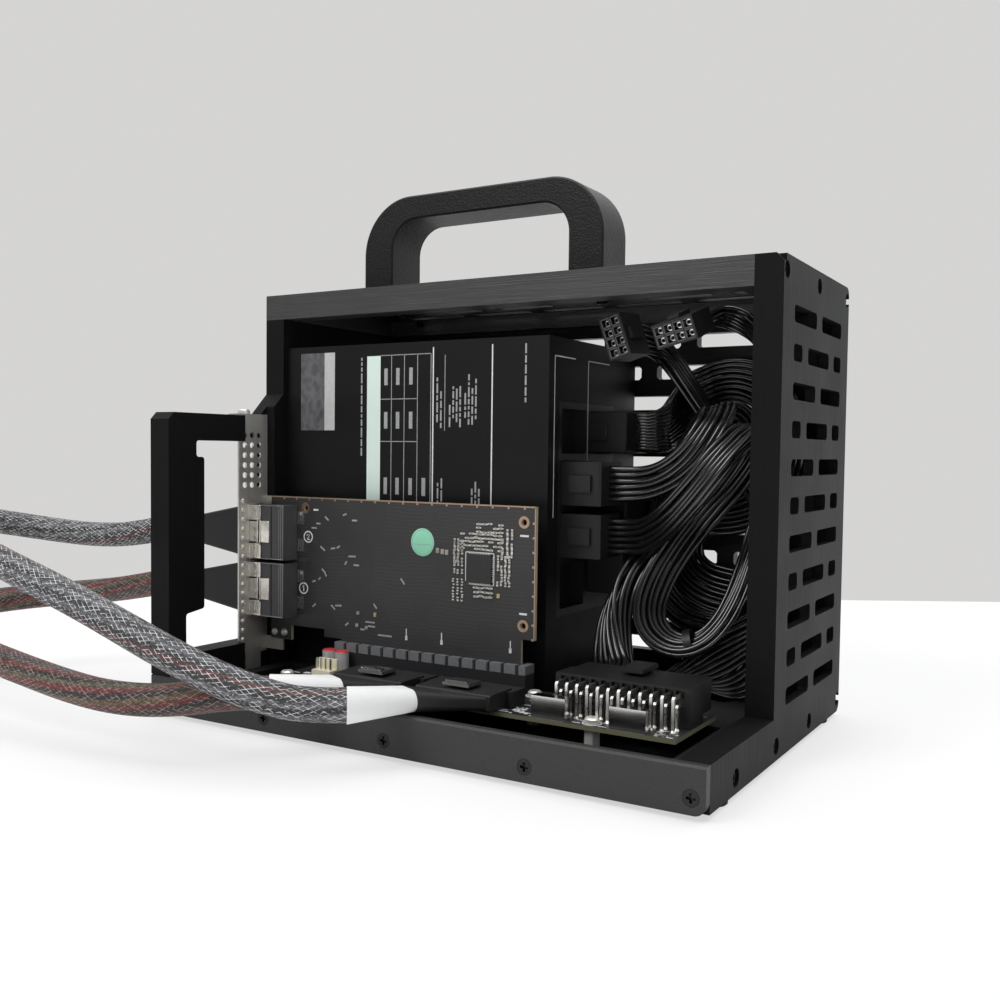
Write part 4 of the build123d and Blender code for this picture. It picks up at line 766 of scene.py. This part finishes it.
sheet_steel = plated("bracket_metal", (0.74, 0.72, 0.67), (900, 900, 40), 0.3, 0.55, metal=0.8)
clip_steel = plated("clip_steel", (0.8, 0.77, 0.71), 260, 0.1, 0.34, 0.1, 0.9)
bright_tin = plated("pin_metal", (0.88, 0.86, 0.82), 600, 0.18, 0.42)
nickel = plated("screw_nickel", (0.92, 0.9, 0.84), 500, 0.22, 0.45, metal=0.6)
polished = plated("can_metal", (0.86, 0.85, 0.83), (60, 60, 200), 0.06, 0.2)
dress(sheet_steel, "card_bracket")
dress(bright_tin, "power_header_pins")
dress(nickel, "board_screws", "board_standoffs", "bracket_screw")
dress(polished, "shield_cans", "link_latch_a", "link_latch_b")
dress(plated("screw_black", (0.045, 0.045, 0.047), 700, 0.28, 0.5), "front_bar_screws", "panel_screws",
      "handle_screws", "psu_screws")
print("metal finishes")

# %% Capacitors
top_print = 0.55
cap_top = box_of("capacitors")[1][2]
cap_metal, shader, place = finish("cap_metal", (0.8, 0.8, 0.8), 0.35)
printed = axes(place)[2] > (cap_top - top_print) * MM
brushed = noise(place, (60, 60, 1500), 3)
feed(shader, Base_Color=mixed(printed, mixed(brushed, (0.66, 0.65, 0.64), (0.86, 0.85, 0.84)), (0.55, 0.05, 0.06)),
     Metallic=0.55 - 0.5 * printed, Roughness=0.3 + 0.2 * brushed)
dress(cap_metal, "capacitors")
print("capacitor tops at", cap_top.round(1), "mm")

# %% [markdown]
# ## Circuit boards
# A black solder mask over copper: traces show as faint lines, and the sawn edge shows the bare board. Which faces
# are edges is read from the surface normal, so the tan edge needs no separate piece.


# %% Board finishes
def masked(name, shade, edge, flat_axis):
    """Solder mask with faint parallel traces that jog, and a bare edge wherever the face doesn't look along its
    flat axis."""
    lanes, jogs, jog_by, trace_from = 620, 9, 0.7, 0.72
    material, shader, place = finish(name, (shade,) * 3, 0.38, Specular_IOR_Level=0.4)
    _, depth_of, up = axes(place)
    jog = noise(place, 30, 0) * jogs
    lane = ((up + depth_of) * lanes + (jog - jog % 1) * jog_by) % 1
    trace = (lane > trace_from) * (noise(place, 45, 1) > 0.47)
    normal = place.make("NewGeometry", out="Normal")
    bare = abs(axes(normal)[flat_axis]) < 0.5
    cloud = noise(place, 70)
    mask = mixed(cloud, (shade * 0.9,) * 3, (shade * 1.15, shade * 1.12, shade * 1.15))
    lined = mixed(trace * 0.16, mask, (0.1, 0.1, 0.105))
    fibre = noise(place, 1500)
    feed(shader, Base_Color=mixed(bare, lined, mixed(fibre, tuple(0.7 * part for part in edge), edge)),
         Roughness=0.34 + 0.1 * cloud + 0.3 * bare, Normal=raised(trace * (1 - bare), 0.03, 0.3))
    return material


dress(masked("card_mask", 0.036, (0.52, 0.43, 0.3), 1), "card_board")
dress(masked("dock_mask", 0.02, (0.17, 0.165, 0.1), 2), "dock_board")
dress(mottled("psu_board", (0.2, 0.14, 0.06), 0.5, (0.15, 0.1, 0.045), (0.26, 0.19, 0.09), 200), "psu_circuit")
print("board finishes")

# %% [markdown]
# ## Print, pads and parts
# Silkscreen is a thin coat of white ink and pads are tinned copper. Both are so thin that only their outline counts,
# so each mark is a brick a tenth of a millimetre high on the board's face: all the marks of one colour are one mesh.

# %% Small finishes
ink = mottled("silkscreen_ink", (0.8, 0.8, 0.79), 0.6, (0.55, 0.55, 0.55), (0.88, 0.88, 0.87), 1200,
              spread=(0.5, 0.2))
faint = mottled("faint_ink", (0.34, 0.34, 0.35), 0.6, (0.2, 0.2, 0.21), (0.46, 0.46, 0.46), 1500,
                spread=(0.5, 0.2))
part_grey = mottled("part_ceramic", (0.2, 0.18, 0.15), 0.5, (0.16, 0.15, 0.14), (0.48, 0.45, 0.4), 260, 0)
copper = plated("ring_copper", (0.62, 0.42, 0.3), 700, 0.3, 0.5)
gold = plated("pad_gold", (0.72, 0.6, 0.3), 700, 0.3, 0.5)
print("small finishes")

# %% Planes of the two boards
card_low, card_high = box_of("card_board")
CARD = (Y * card_low[1], X, Z)
DOCK = (Z * box_of("dock_board")[1][2], X, Y)
print("card face at Y", CARD[0][1].round(2), "and dock face at Z", DOCK[0][2].round(2))

# %% Card print
dashes = np.array([
    (-79.3, 83.7, 2.6, -40), (-84.3, 81.2, 2.4, 0), (-86.8, 79.1, 3, 0), (-68.9, 85.9, 2.2, 20),
    (-63.3, 83.5, 2.8, 0), (-81.7, 69.9, 3.2, -35), (-75.6, 70.3, 2.6, 10), (-72.5, 71.1, 2, 30), (-64.6, 67.3, 4, 3),
    (-68.2, 64.1, 1.8, 60), (-62.2, 63.5, 3, 0), (-81.1, 59.7, 2.6, -40), (-83.5, 56, 1.6, 40), (-86.7, 54.6, 2, 20),
    (-79.8, 58, 1.6, -60), (-36.5, 58.1, 3.2, -50), (-86.6, 43.5, 2.4, 40), (-75.4, 43.5, 3, -40),
    (-72.3, 44.5, 3.6, 5), (-51.4, 46, 2.6, -50), (-67.4, 36.5, 2.2, 40), (-58.4, 35, 2.4, 0), (-46, 33.4, 7.5, 0),
    (-54.2, 38.6, 5.2, 0), (-53.4, 36.8, 4, 0)])
dash_size = np.c_[dashes[:, 2], np.full(len(dashes), 0.75)]
piece("card_faint_print", slabs(CARD, dashes[:, :2], dash_size, 0.07, dashes[:, 3]), faint)
low_ring, high_ring = np.array([(-93, 50.9), (-90.3, 74.8)])
figure_one = np.array([(-0.5, 0.7), (0.1, 1.2), (0.1, -1.2)])
figure_two = np.array([(-0.7, 0.7), (-0.35, 1.15), (0.35, 1.15), (0.7, 0.6), (0.4, 0), (-0.7, -1.15), (0.8, -1.15)])
arrow_x = (-34.3, -15.8, 18.2)
arrows = [[(x, 37.4), (x, 34.2)] for x in arrow_x]
outline = [[(-3.9, 73), (9.9, 73), (9.9, 59.6), (-1.5, 59.6)], [(-3.9, 73), (-3.9, 61)]]
hole_bars = [[(-86.8, 87.4), (-84.8, 87.4)], [(22.6, 81), (25.8, 81)], [(22.6, 49.2), (25.4, 49.2)]]
piece("card_print", joined([
    strokes(CARD, [low_ring + figure_one, high_ring + figure_two], 0.5), strokes(CARD, arrows, 0.45),
    strokes(CARD, outline, 0.4), strokes(CARD, hole_bars, 0.8), slabs(CARD, [(x, 33.6) for x in arrow_x], (1.2, 2)),
    *[ring(CARD, place, 2.15, 2.75, 0, THIN) for place in (low_ring, high_ring)]]), ink)
print(len(dashes), "faint marks on the card")

# %% Places of small parts
MOVED = 0.22


def scatter(*areas):
    """Places on even grids, each moved a little, of which a random share is kept."""
    kept = []
    for x, y, columns, rows, share in areas:
        grid = np.stack(np.meshgrid(np.linspace(*x, columns), np.linspace(*y, rows)), -1).reshape(-1, 2)
        kept.append((grid + chance.uniform(-MOVED, MOVED, grid.shape))[chance.random(len(grid)) < share])
    return np.concatenate(kept)


def sized(places, wide, tall):
    """Rows of place and size for places that share one size."""
    return np.c_[places, np.tile((wide, tall), (len(places), 1))]


def pads(places, across, up):
    """Two pads for each place, a step either side of it."""
    return (places[:, None] + np.array([(across, up), (-across, -up)])).reshape(-1, 2)


upright = scatter(((-9.4, -5.6), (64.6, 77.6), 3, 9, 0.85), ((12, 17.4), (60.8, 71.4), 4, 6, 0.75),
                  ((14.2, 18.6), (72.6, 82.4), 3, 6, 0.85))
level_parts = scatter(((-5.4, 13), (74.4, 80.6), 9, 5, 0.85), ((2.6, 13.4), (81.6, 85), 5, 3, 0.7),
                      ((1.4, 8.4), (54.8, 58.4), 4, 3, 0.85))
pads_small = scatter(((-9.8, -5.4), (52.4, 61.4), 3, 8, 0.95))
print(len(upright), "upright and", len(level_parts), "level parts")

# %% Card parts
trio = np.array([(-18, 72.7), (-15.6, 72.4), (-13.4, 72.2)])
lone = np.array([(-94.4, 85.3), (-94.3, 58), (-60.8, 42.2), (-61.4, 36.6), (-56, 36), (-9, 68.6)])
bodies = np.concatenate([sized(upright, 0.9, 1.17), sized(level_parts, 1.26, 0.99), sized(trio, 1.71, 2.16),
                         sized(lone, 1.44, 1.44)])
piece("card_parts", listed(CARD, bodies, 0.55), part_grey, bevel=0.08)
tinned = np.concatenate([pads(upright, 0, 0.675), pads(level_parts, 0.75, 0), pads_small])
tabs = np.array([(-94.8 + shift, z) for z in (83.4, 70.8, 56.3, 44) for shift in (-1.3, 0, 1.3)])
legs = np.linspace(-5, 5, 14)
leg_rows = np.concatenate([np.c_[legs, np.full(len(legs), out)] for out in (6.35, -6.35)])
chip = np.mean(box_of("card_chip"), 0)[[0, 2]]
piece("card_solder", joined([
    slabs(CARD, tinned, (0.95, 0.6), 0.5), slabs(CARD, tabs, (0.95, 5.8), 0.25),
    slabs(CARD, leg_rows + chip, (0.36, 0.9), 0.3), slabs(CARD, leg_rows[:, ::-1] + chip, (0.9, 0.36), 0.3)]),
    bright_tin)
piece("card_gold_pads", slabs(CARD, [(-51.4, 42.2), (12.2, 55.6)], (1.5, 1.9), 0.3), gold, bevel=0.08)
print(len(bodies), "parts on the card")

# %% [markdown]
# ## Card rim, sticker and screws
# A fence of plated ticks runs round the card's rim and each hole has a copper ring. A round paper sticker with a
# printed ring lies on the middle. Two domed screws hold the card's foot to its bracket.

# %% Card rim
top_ticks = np.arange(card_low[0] + 8, card_high[0] - 2, 7.6)
side_ticks = np.arange(card_low[2] + 18, card_high[2] - 3, 5.9)
rim_left, rim_right, rim_top = card_low[0] + 0.3, card_high[0] - 0.3, card_high[2] - 0.25
piece("card_rim", joined([
    strokes(CARD, [[(rim_left, rim_top), (rim_right, rim_top), (rim_right, 39.1)]], 0.5, 0.05),
    slabs(CARD, np.c_[top_ticks, np.full(len(top_ticks), card_high[2] - 0.9)], (0.9, 0.9)),
    slabs(CARD, np.c_[np.full(len(side_ticks), card_high[0] - 1), side_ticks], (0.9, 0.9)),
    *[ring(CARD, hole, 1.35, 2.5, 0, 0.1) for hole in ((-92, 88), (24, 86.5), (24, 44.3))]]),
    copper)
print(len(top_ticks) + len(side_ticks), "ticks on the rim")

# %% Sticker and foot screws
mint = mottled("sticker_mint", (0.26, 0.66, 0.44), 0.42, (0.2, 0.58, 0.4), (0.34, 0.74, 0.5), 90,
               spread=(0.36, 0.14))
sticker = np.array((-26.1, 75.8))
piece("round_sticker", turned(CARD, sticker, [(6, 0), (6, 0.1), (5.9, 0.14)], sides=48), mint)
bar = sticker + np.array([(-4.6, -1), (4.6, -1)])
piece("sticker_ring", joined([ring(CARD, sticker, 5.2, 5.4, 0.13, 0.17, 48), strokes(CARD, [bar], 0.25, 0.17)]),
      faint)
dome = [(1.75, 0), (1.75, 0.35), (1.5, 0.8), (0.9, 1.1), (0.5, 1.1), (0.35, 0.7)]
screws = [turned(CARD, place, dome) for place in ((-110.6, 29), (-104.6, 29.2))]
piece("foot_screws", joined(screws), nickel)
print("sticker and", len(screws), "screws")

# %% [markdown]
# ## Cable ports
# Each port is a grey housing in a folded steel cage with sprung clips. The CAD port has the housing, so the cage is
# bent sheet laid on it: bricks with bevelled edges, each at its own height, which catch the light along their rims.

# %% Port cages
sheets = np.array([
    (-115.4, 9.1, 8.6, 6, 0.35), (-115.4, -9, 8.6, 6, 0.35), (-115.8, 0.1, 7.2, 9.4, 0.25),
    (-108.6, 0.2, 5.6, 10, 0.45), (-112.6, 0.2, 0.8, 10.6, 0.9), (-111.1, 0.2, 0.6, 10.6, 0.9),
    (-115.6, 12, 9.4, 0.7, 0.8), (-115.6, 5.9, 9.4, 0.7, 0.9), (-115.6, -5.8, 8.2, 0.6, 0.7),
    (-115.6, -12, 9.4, 0.7, 0.8), (-118.4, 9.1, 0.7, 5.4, 0.7), (-113.4, 9.1, 0.7, 5.4, 0.7),
    (-118.4, -9, 0.7, 5.4, 0.7), (-114.6, -9, 1.1, 5.4, 0.7)])
frames = np.array([(-104.2, 12.25, 14, 0.5, 0.5), (-97.4, 0, 0.7, 25, 0.6), (-98.8, 0, 0.6, 24.4, 0.35),
                   (-104.2, -12.25, 14, 0.5, 0.4), (-100, 0, 0.4, 24.4, 0.2)])
dull_steel = plated("cage_frame", (0.34, 0.34, 0.35), 600, 0.3, 0.5)
for which in "ab":
    low, high = box_of("card_port_" + which)
    PORT = (Y * low[1] + Z * (low[2] + high[2]) / 2, X, Z)
    piece("port_clips_" + which, listed(PORT, sheets), clip_steel, bevel=0.15)
    piece("port_frame_" + which, listed(PORT, frames), dull_steel, bevel=0.1)
BRACKET = (X * -118.1, Y, Z)
dimple = [(1.3, 0), (1.15, 0.4), (0.7, 0.7)]
piece("bracket_dimples", joined([turned(BRACKET, (-36.4, z), dimple, sides=14) for z in np.arange(22, 92, 4.3)]),
      nickel)
print(len(sheets) + len(frames), "bent sheets on each port")

# %% [markdown]
# ## Dock board
# White print and small parts fill the free strip along the board's front, and every header pin stands in a collar of
# solder. The collars are turned from one short profile.

# %% Dock print
collar = [(1.15, 0), (1, 0.25), (0.7, 0.8)]
pins = [(x, y) for x in 76.5 + PIN * (np.arange(12) - 5.5) for y in (-45, -48.4)]
piece("pin_solder", joined([turned(DOCK, pin, collar, sides=10) for pin in pins]), bright_tin)
print_lines = [[(27.5, -52.5), (34.5, -52.5)], [(27, -42), (30.4, -38)], [(28.5, -43.5), (32.4, -43.5)],
               [(36, -41.5), (41, -41.5), (43, -37)], [(63.4, -54.5), (66, -54.5)], [(63.4, -50.6), (66, -50.6)],
               [(73.6, -49.9), (76.4, -49.9)], [(74, -55), (76.8, -55)], [(94.6, -50.5), (97.6, -47.5)],
               [(95.2, -53.5), (99.8, -53.5)], [(97, -24.6), (97, -20.6), (101.5, -20.6)],
               [(17.2, -21.3), (22.6, -17.9)], [(-80, -44.8), (-76, -44.8)], [(-72, -55), (-60, -55)]]
bars = np.array([(36.6, -50.4, 1.4, 2.2), (38.6, -51.4, 1.2, 2.6), (40.8, -52.2, 1.4, 2.4), (43.2, -53, 1.6, 2.2),
                 (38.4, -48.2, 4.6, 0.8), (33.5, -54.6, 5, 0.8), (-79, -47, 1.6, 2.6), (-72.6, -43.2, 3.4, 2)])
dust = scatter(((29.5, 46), (-55.5, -46.5), 9, 4, 0.45), ((96, 102), (-55.5, -49), 5, 4, 0.5))
holes = ((70, -52.2), (-76.2, -52.2), (31.6, -25.95))
piece("dock_print", joined([
    strokes(DOCK, print_lines, 0.5), slabs(DOCK, dust, (1.1, 0.7)), listed(DOCK, bars),
    *[ring(DOCK, hole, 3.2, 3.7, 0, THIN) for hole in holes]]), ink)
print(len(pins), "pins in solder")

# %% Dock parts
dock_grid = scatter(((-70, -48), (-52.5, -48), 8, 3, 0.6), ((36, 47), (-36, -22), 5, 5, 0.5),
                    ((88, 101), (-54.5, -51.5), 5, 2, 0.6), ((-56, -46), (-44, -38), 4, 3, 0.5))
piece("dock_parts", slabs(DOCK, dock_grid, (1.5, 1), 0.6), part_grey, bevel=0.08)
piece("dock_solder", slabs(DOCK, pads(dock_grid, 0.8625, 0), (0.6, 1.05), 0.55), bright_tin)
print(len(dock_grid), "parts on the dock board")

# %% [markdown]
# ## Power supply print
# The front face carries a printed rating field: ruled lines, a mint band and short bars, all one thin coat of ink.
# Two thin white frames on the wiring end mark the socket groups.

# %% Rating field
supply_low, supply_high = box_of("psu_chassis")
FACE = (Y * supply_low[1], X, Z)
WIRING = (X * supply_high[0], Y, Z)
rules = [[(-58.3, 157.6), (-30.8, 157.6)], [(-58.3, 138), (-38, 138)], [(-58.3, 119), (-38, 119)],
         [(-58.3, 60), (-30.8, 60)], [(-23.4, 156.5), (-23.4, 124)]]
rules += [[(x, 157.6), (x, 60)] for x in (-52.3, -45.2, -38, -30.8)]
piece("rating_rules", strokes(FACE, rules, 0.35, 0.05), faint)
long_rules = [[(x, 160), (x, 30)] for x in (-29.6, 0.7)]
groups = [[(12.4, 155), (-6, 155), (-6, 88)], [(46, 155), (25, 155), (25, 112)]]
piece("rating_long_rules", joined([strokes(FACE, long_rules, 0.6, 0.05), strokes(WIRING, groups, 0.5, 0.05)]),
      ink)
band, shader, place = finish("mint_band", (0.68, 0.8, 0.74), 0.5)
feed(shader, Base_Color=mixed(noise(place, 60), (0.64, 0.77, 0.71), (0.71, 0.83, 0.77)),
     Roughness=0.45 + 0.1 * noise(place, 300))
piece("mint_band", slabs(FACE, (-62.3, 98.5), (7.6, 118), 0.06), band)
print(len(rules) + len(long_rules), "rules on the face")


# %% Rows of short bars
def row_of_bars(x, top, bottom, width=0.8, longest=5):
    """Bars one under another: random lengths with short gaps, as far as the bottom."""
    length = chance.uniform(1.2, longest, 60)
    start = top - np.cumsum(np.r_[0, length[:-1] + 0.8])
    kept = start - length > bottom
    return np.c_[np.full(kept.sum(), x), start[kept] - length[kept] / 2, np.full(kept.sum(), width), length[kept]]


small_print = np.concatenate([row_of_bars(*place) for place in (
    (-27.4, 147, 125), (-25.4, 141, 125), (-20.8, 135, 125), (-19, 143, 125), (-17.2, 142, 125), (-15.4, 143, 125),
    (-12.8, 140, 125), (-11, 148, 125), (-9.2, 142, 125), (-7.4, 146, 125), (-26.8, 101, 66), (-24.8, 103, 66),
    (-9, 99, 66), (-7.2, 102, 66), (-5.4, 99, 66), (17, 160, 134), (-69.2, 157, 110))])
cells = [(x, z, 1.9, 7.5) for x in (-55.4, -48.8, -41.6) for z in (148, 128.5, 99)] + [(-34.4, 99, 2, 8)]
piece("rating_small_print", listed(FACE, small_print, 0.05), faint)
piece("rating_bars", listed(FACE, cells, 0.05), faint)
print(len(small_print), "short bars")

# %% Foil tag
tag = mottled("foil_tag", (0.36, 0.36, 0.37), 0.35, (0.05, 0.05, 0.055), (0.26, 0.26, 0.27), (420, 420, 300),
              metallic=0.5, spread=(0.28, 0.2))
silver = mottled("scratch_band", (0.6, 0.6, 0.6), 0.4, (0.52, 0.52, 0.52), (0.66, 0.66, 0.66), 500, metallic=0.3)
piece("foil_tag", slabs(FACE, (-98.4, 142), (14.4, 36), 0.1), tag, bevel=0.05)
piece("scratch_band", slabs(FACE, (-88.1, 142), (6.2, 36), 0.12), silver, bevel=0.06)
print("foil tag and its band")

# %% [markdown]
# ## Plug mouths
# Each way of a loose plug has its own raised rim and a sprung tube of metal inside. The rims are painted a paler
# black than the plug, a painted highlight on their edges. The plug's tilt turns one flat pattern of eight into place.

# %% Plug contacts and rims
half = 1.72
rim = np.array([(-half, -half), (half, -half), (half, half), (-half, half), (-half, -half)])
ways = PIN * np.array(ways_of(4, 2))
# The rims are the plug's moulded black painted about eight times paler: a painted highlight along their edges.
rim_highlight_black = black("rim_painted_highlight", 0.1, 900, 0.04, 0.35, 0.5)
for which, (place, turn_of) in loose_places.items():
    MOUTH = (place, turn_of[:, 0], turn_of[:, 2])
    rims = strokes(MOUTH, [way + rim for way in ways], 0.42, 0.3)
    piece("plug_rims_" + which, rims, rim_highlight_black, bevel=0.08)
    contacts = joined([ring(MOUTH, way, 0.85, 1.25, -7, -2, 16) for way in ways])
    piece("plug_contacts_" + which, contacts, bright_tin)
print(len(ways), "contacts in each plug")

# %% [markdown]
# ## Hidden sides
# The inlet's three pins are bare metal and the fan hub carries a plain paper disc. Both are plain additions on faces
# that the photograph doesn't show, so they keep to the usual form of such parts. The disc rides on the rotor.

# %% Inlet pins and hub disc
mid_y, mid_z = np.mean(box_of("psu_inlet"), 0)[1:]
INLET = (X * -99, -Y, Z)
pins = [(-mid_y + 7, mid_z - 2), (-mid_y - 7, mid_z - 2), (-mid_y, mid_z + 2)]
piece("inlet_pins", slabs(INLET, pins, (2.2, 4.2), 13.2), nickel, bevel=0.4)
HUB = (Y * 72, -X, Z)
hub_middle, disc = (43, 88), [(15, 0), (15, 0.1), (14.9, 0.15)]
paper_grey = mottled("hub_paper", (0.3, 0.3, 0.31), 0.6, (0.26, 0.26, 0.27), (0.34, 0.34, 0.35), 300)
piece("hub_disc", turned(HUB, hub_middle, disc, sides=40), paper_grey, "fan_rotor")
print(len(pins), "inlet pins and a hub disc")

# %% [markdown]
# ## End

# %% Finish
print("script finished")
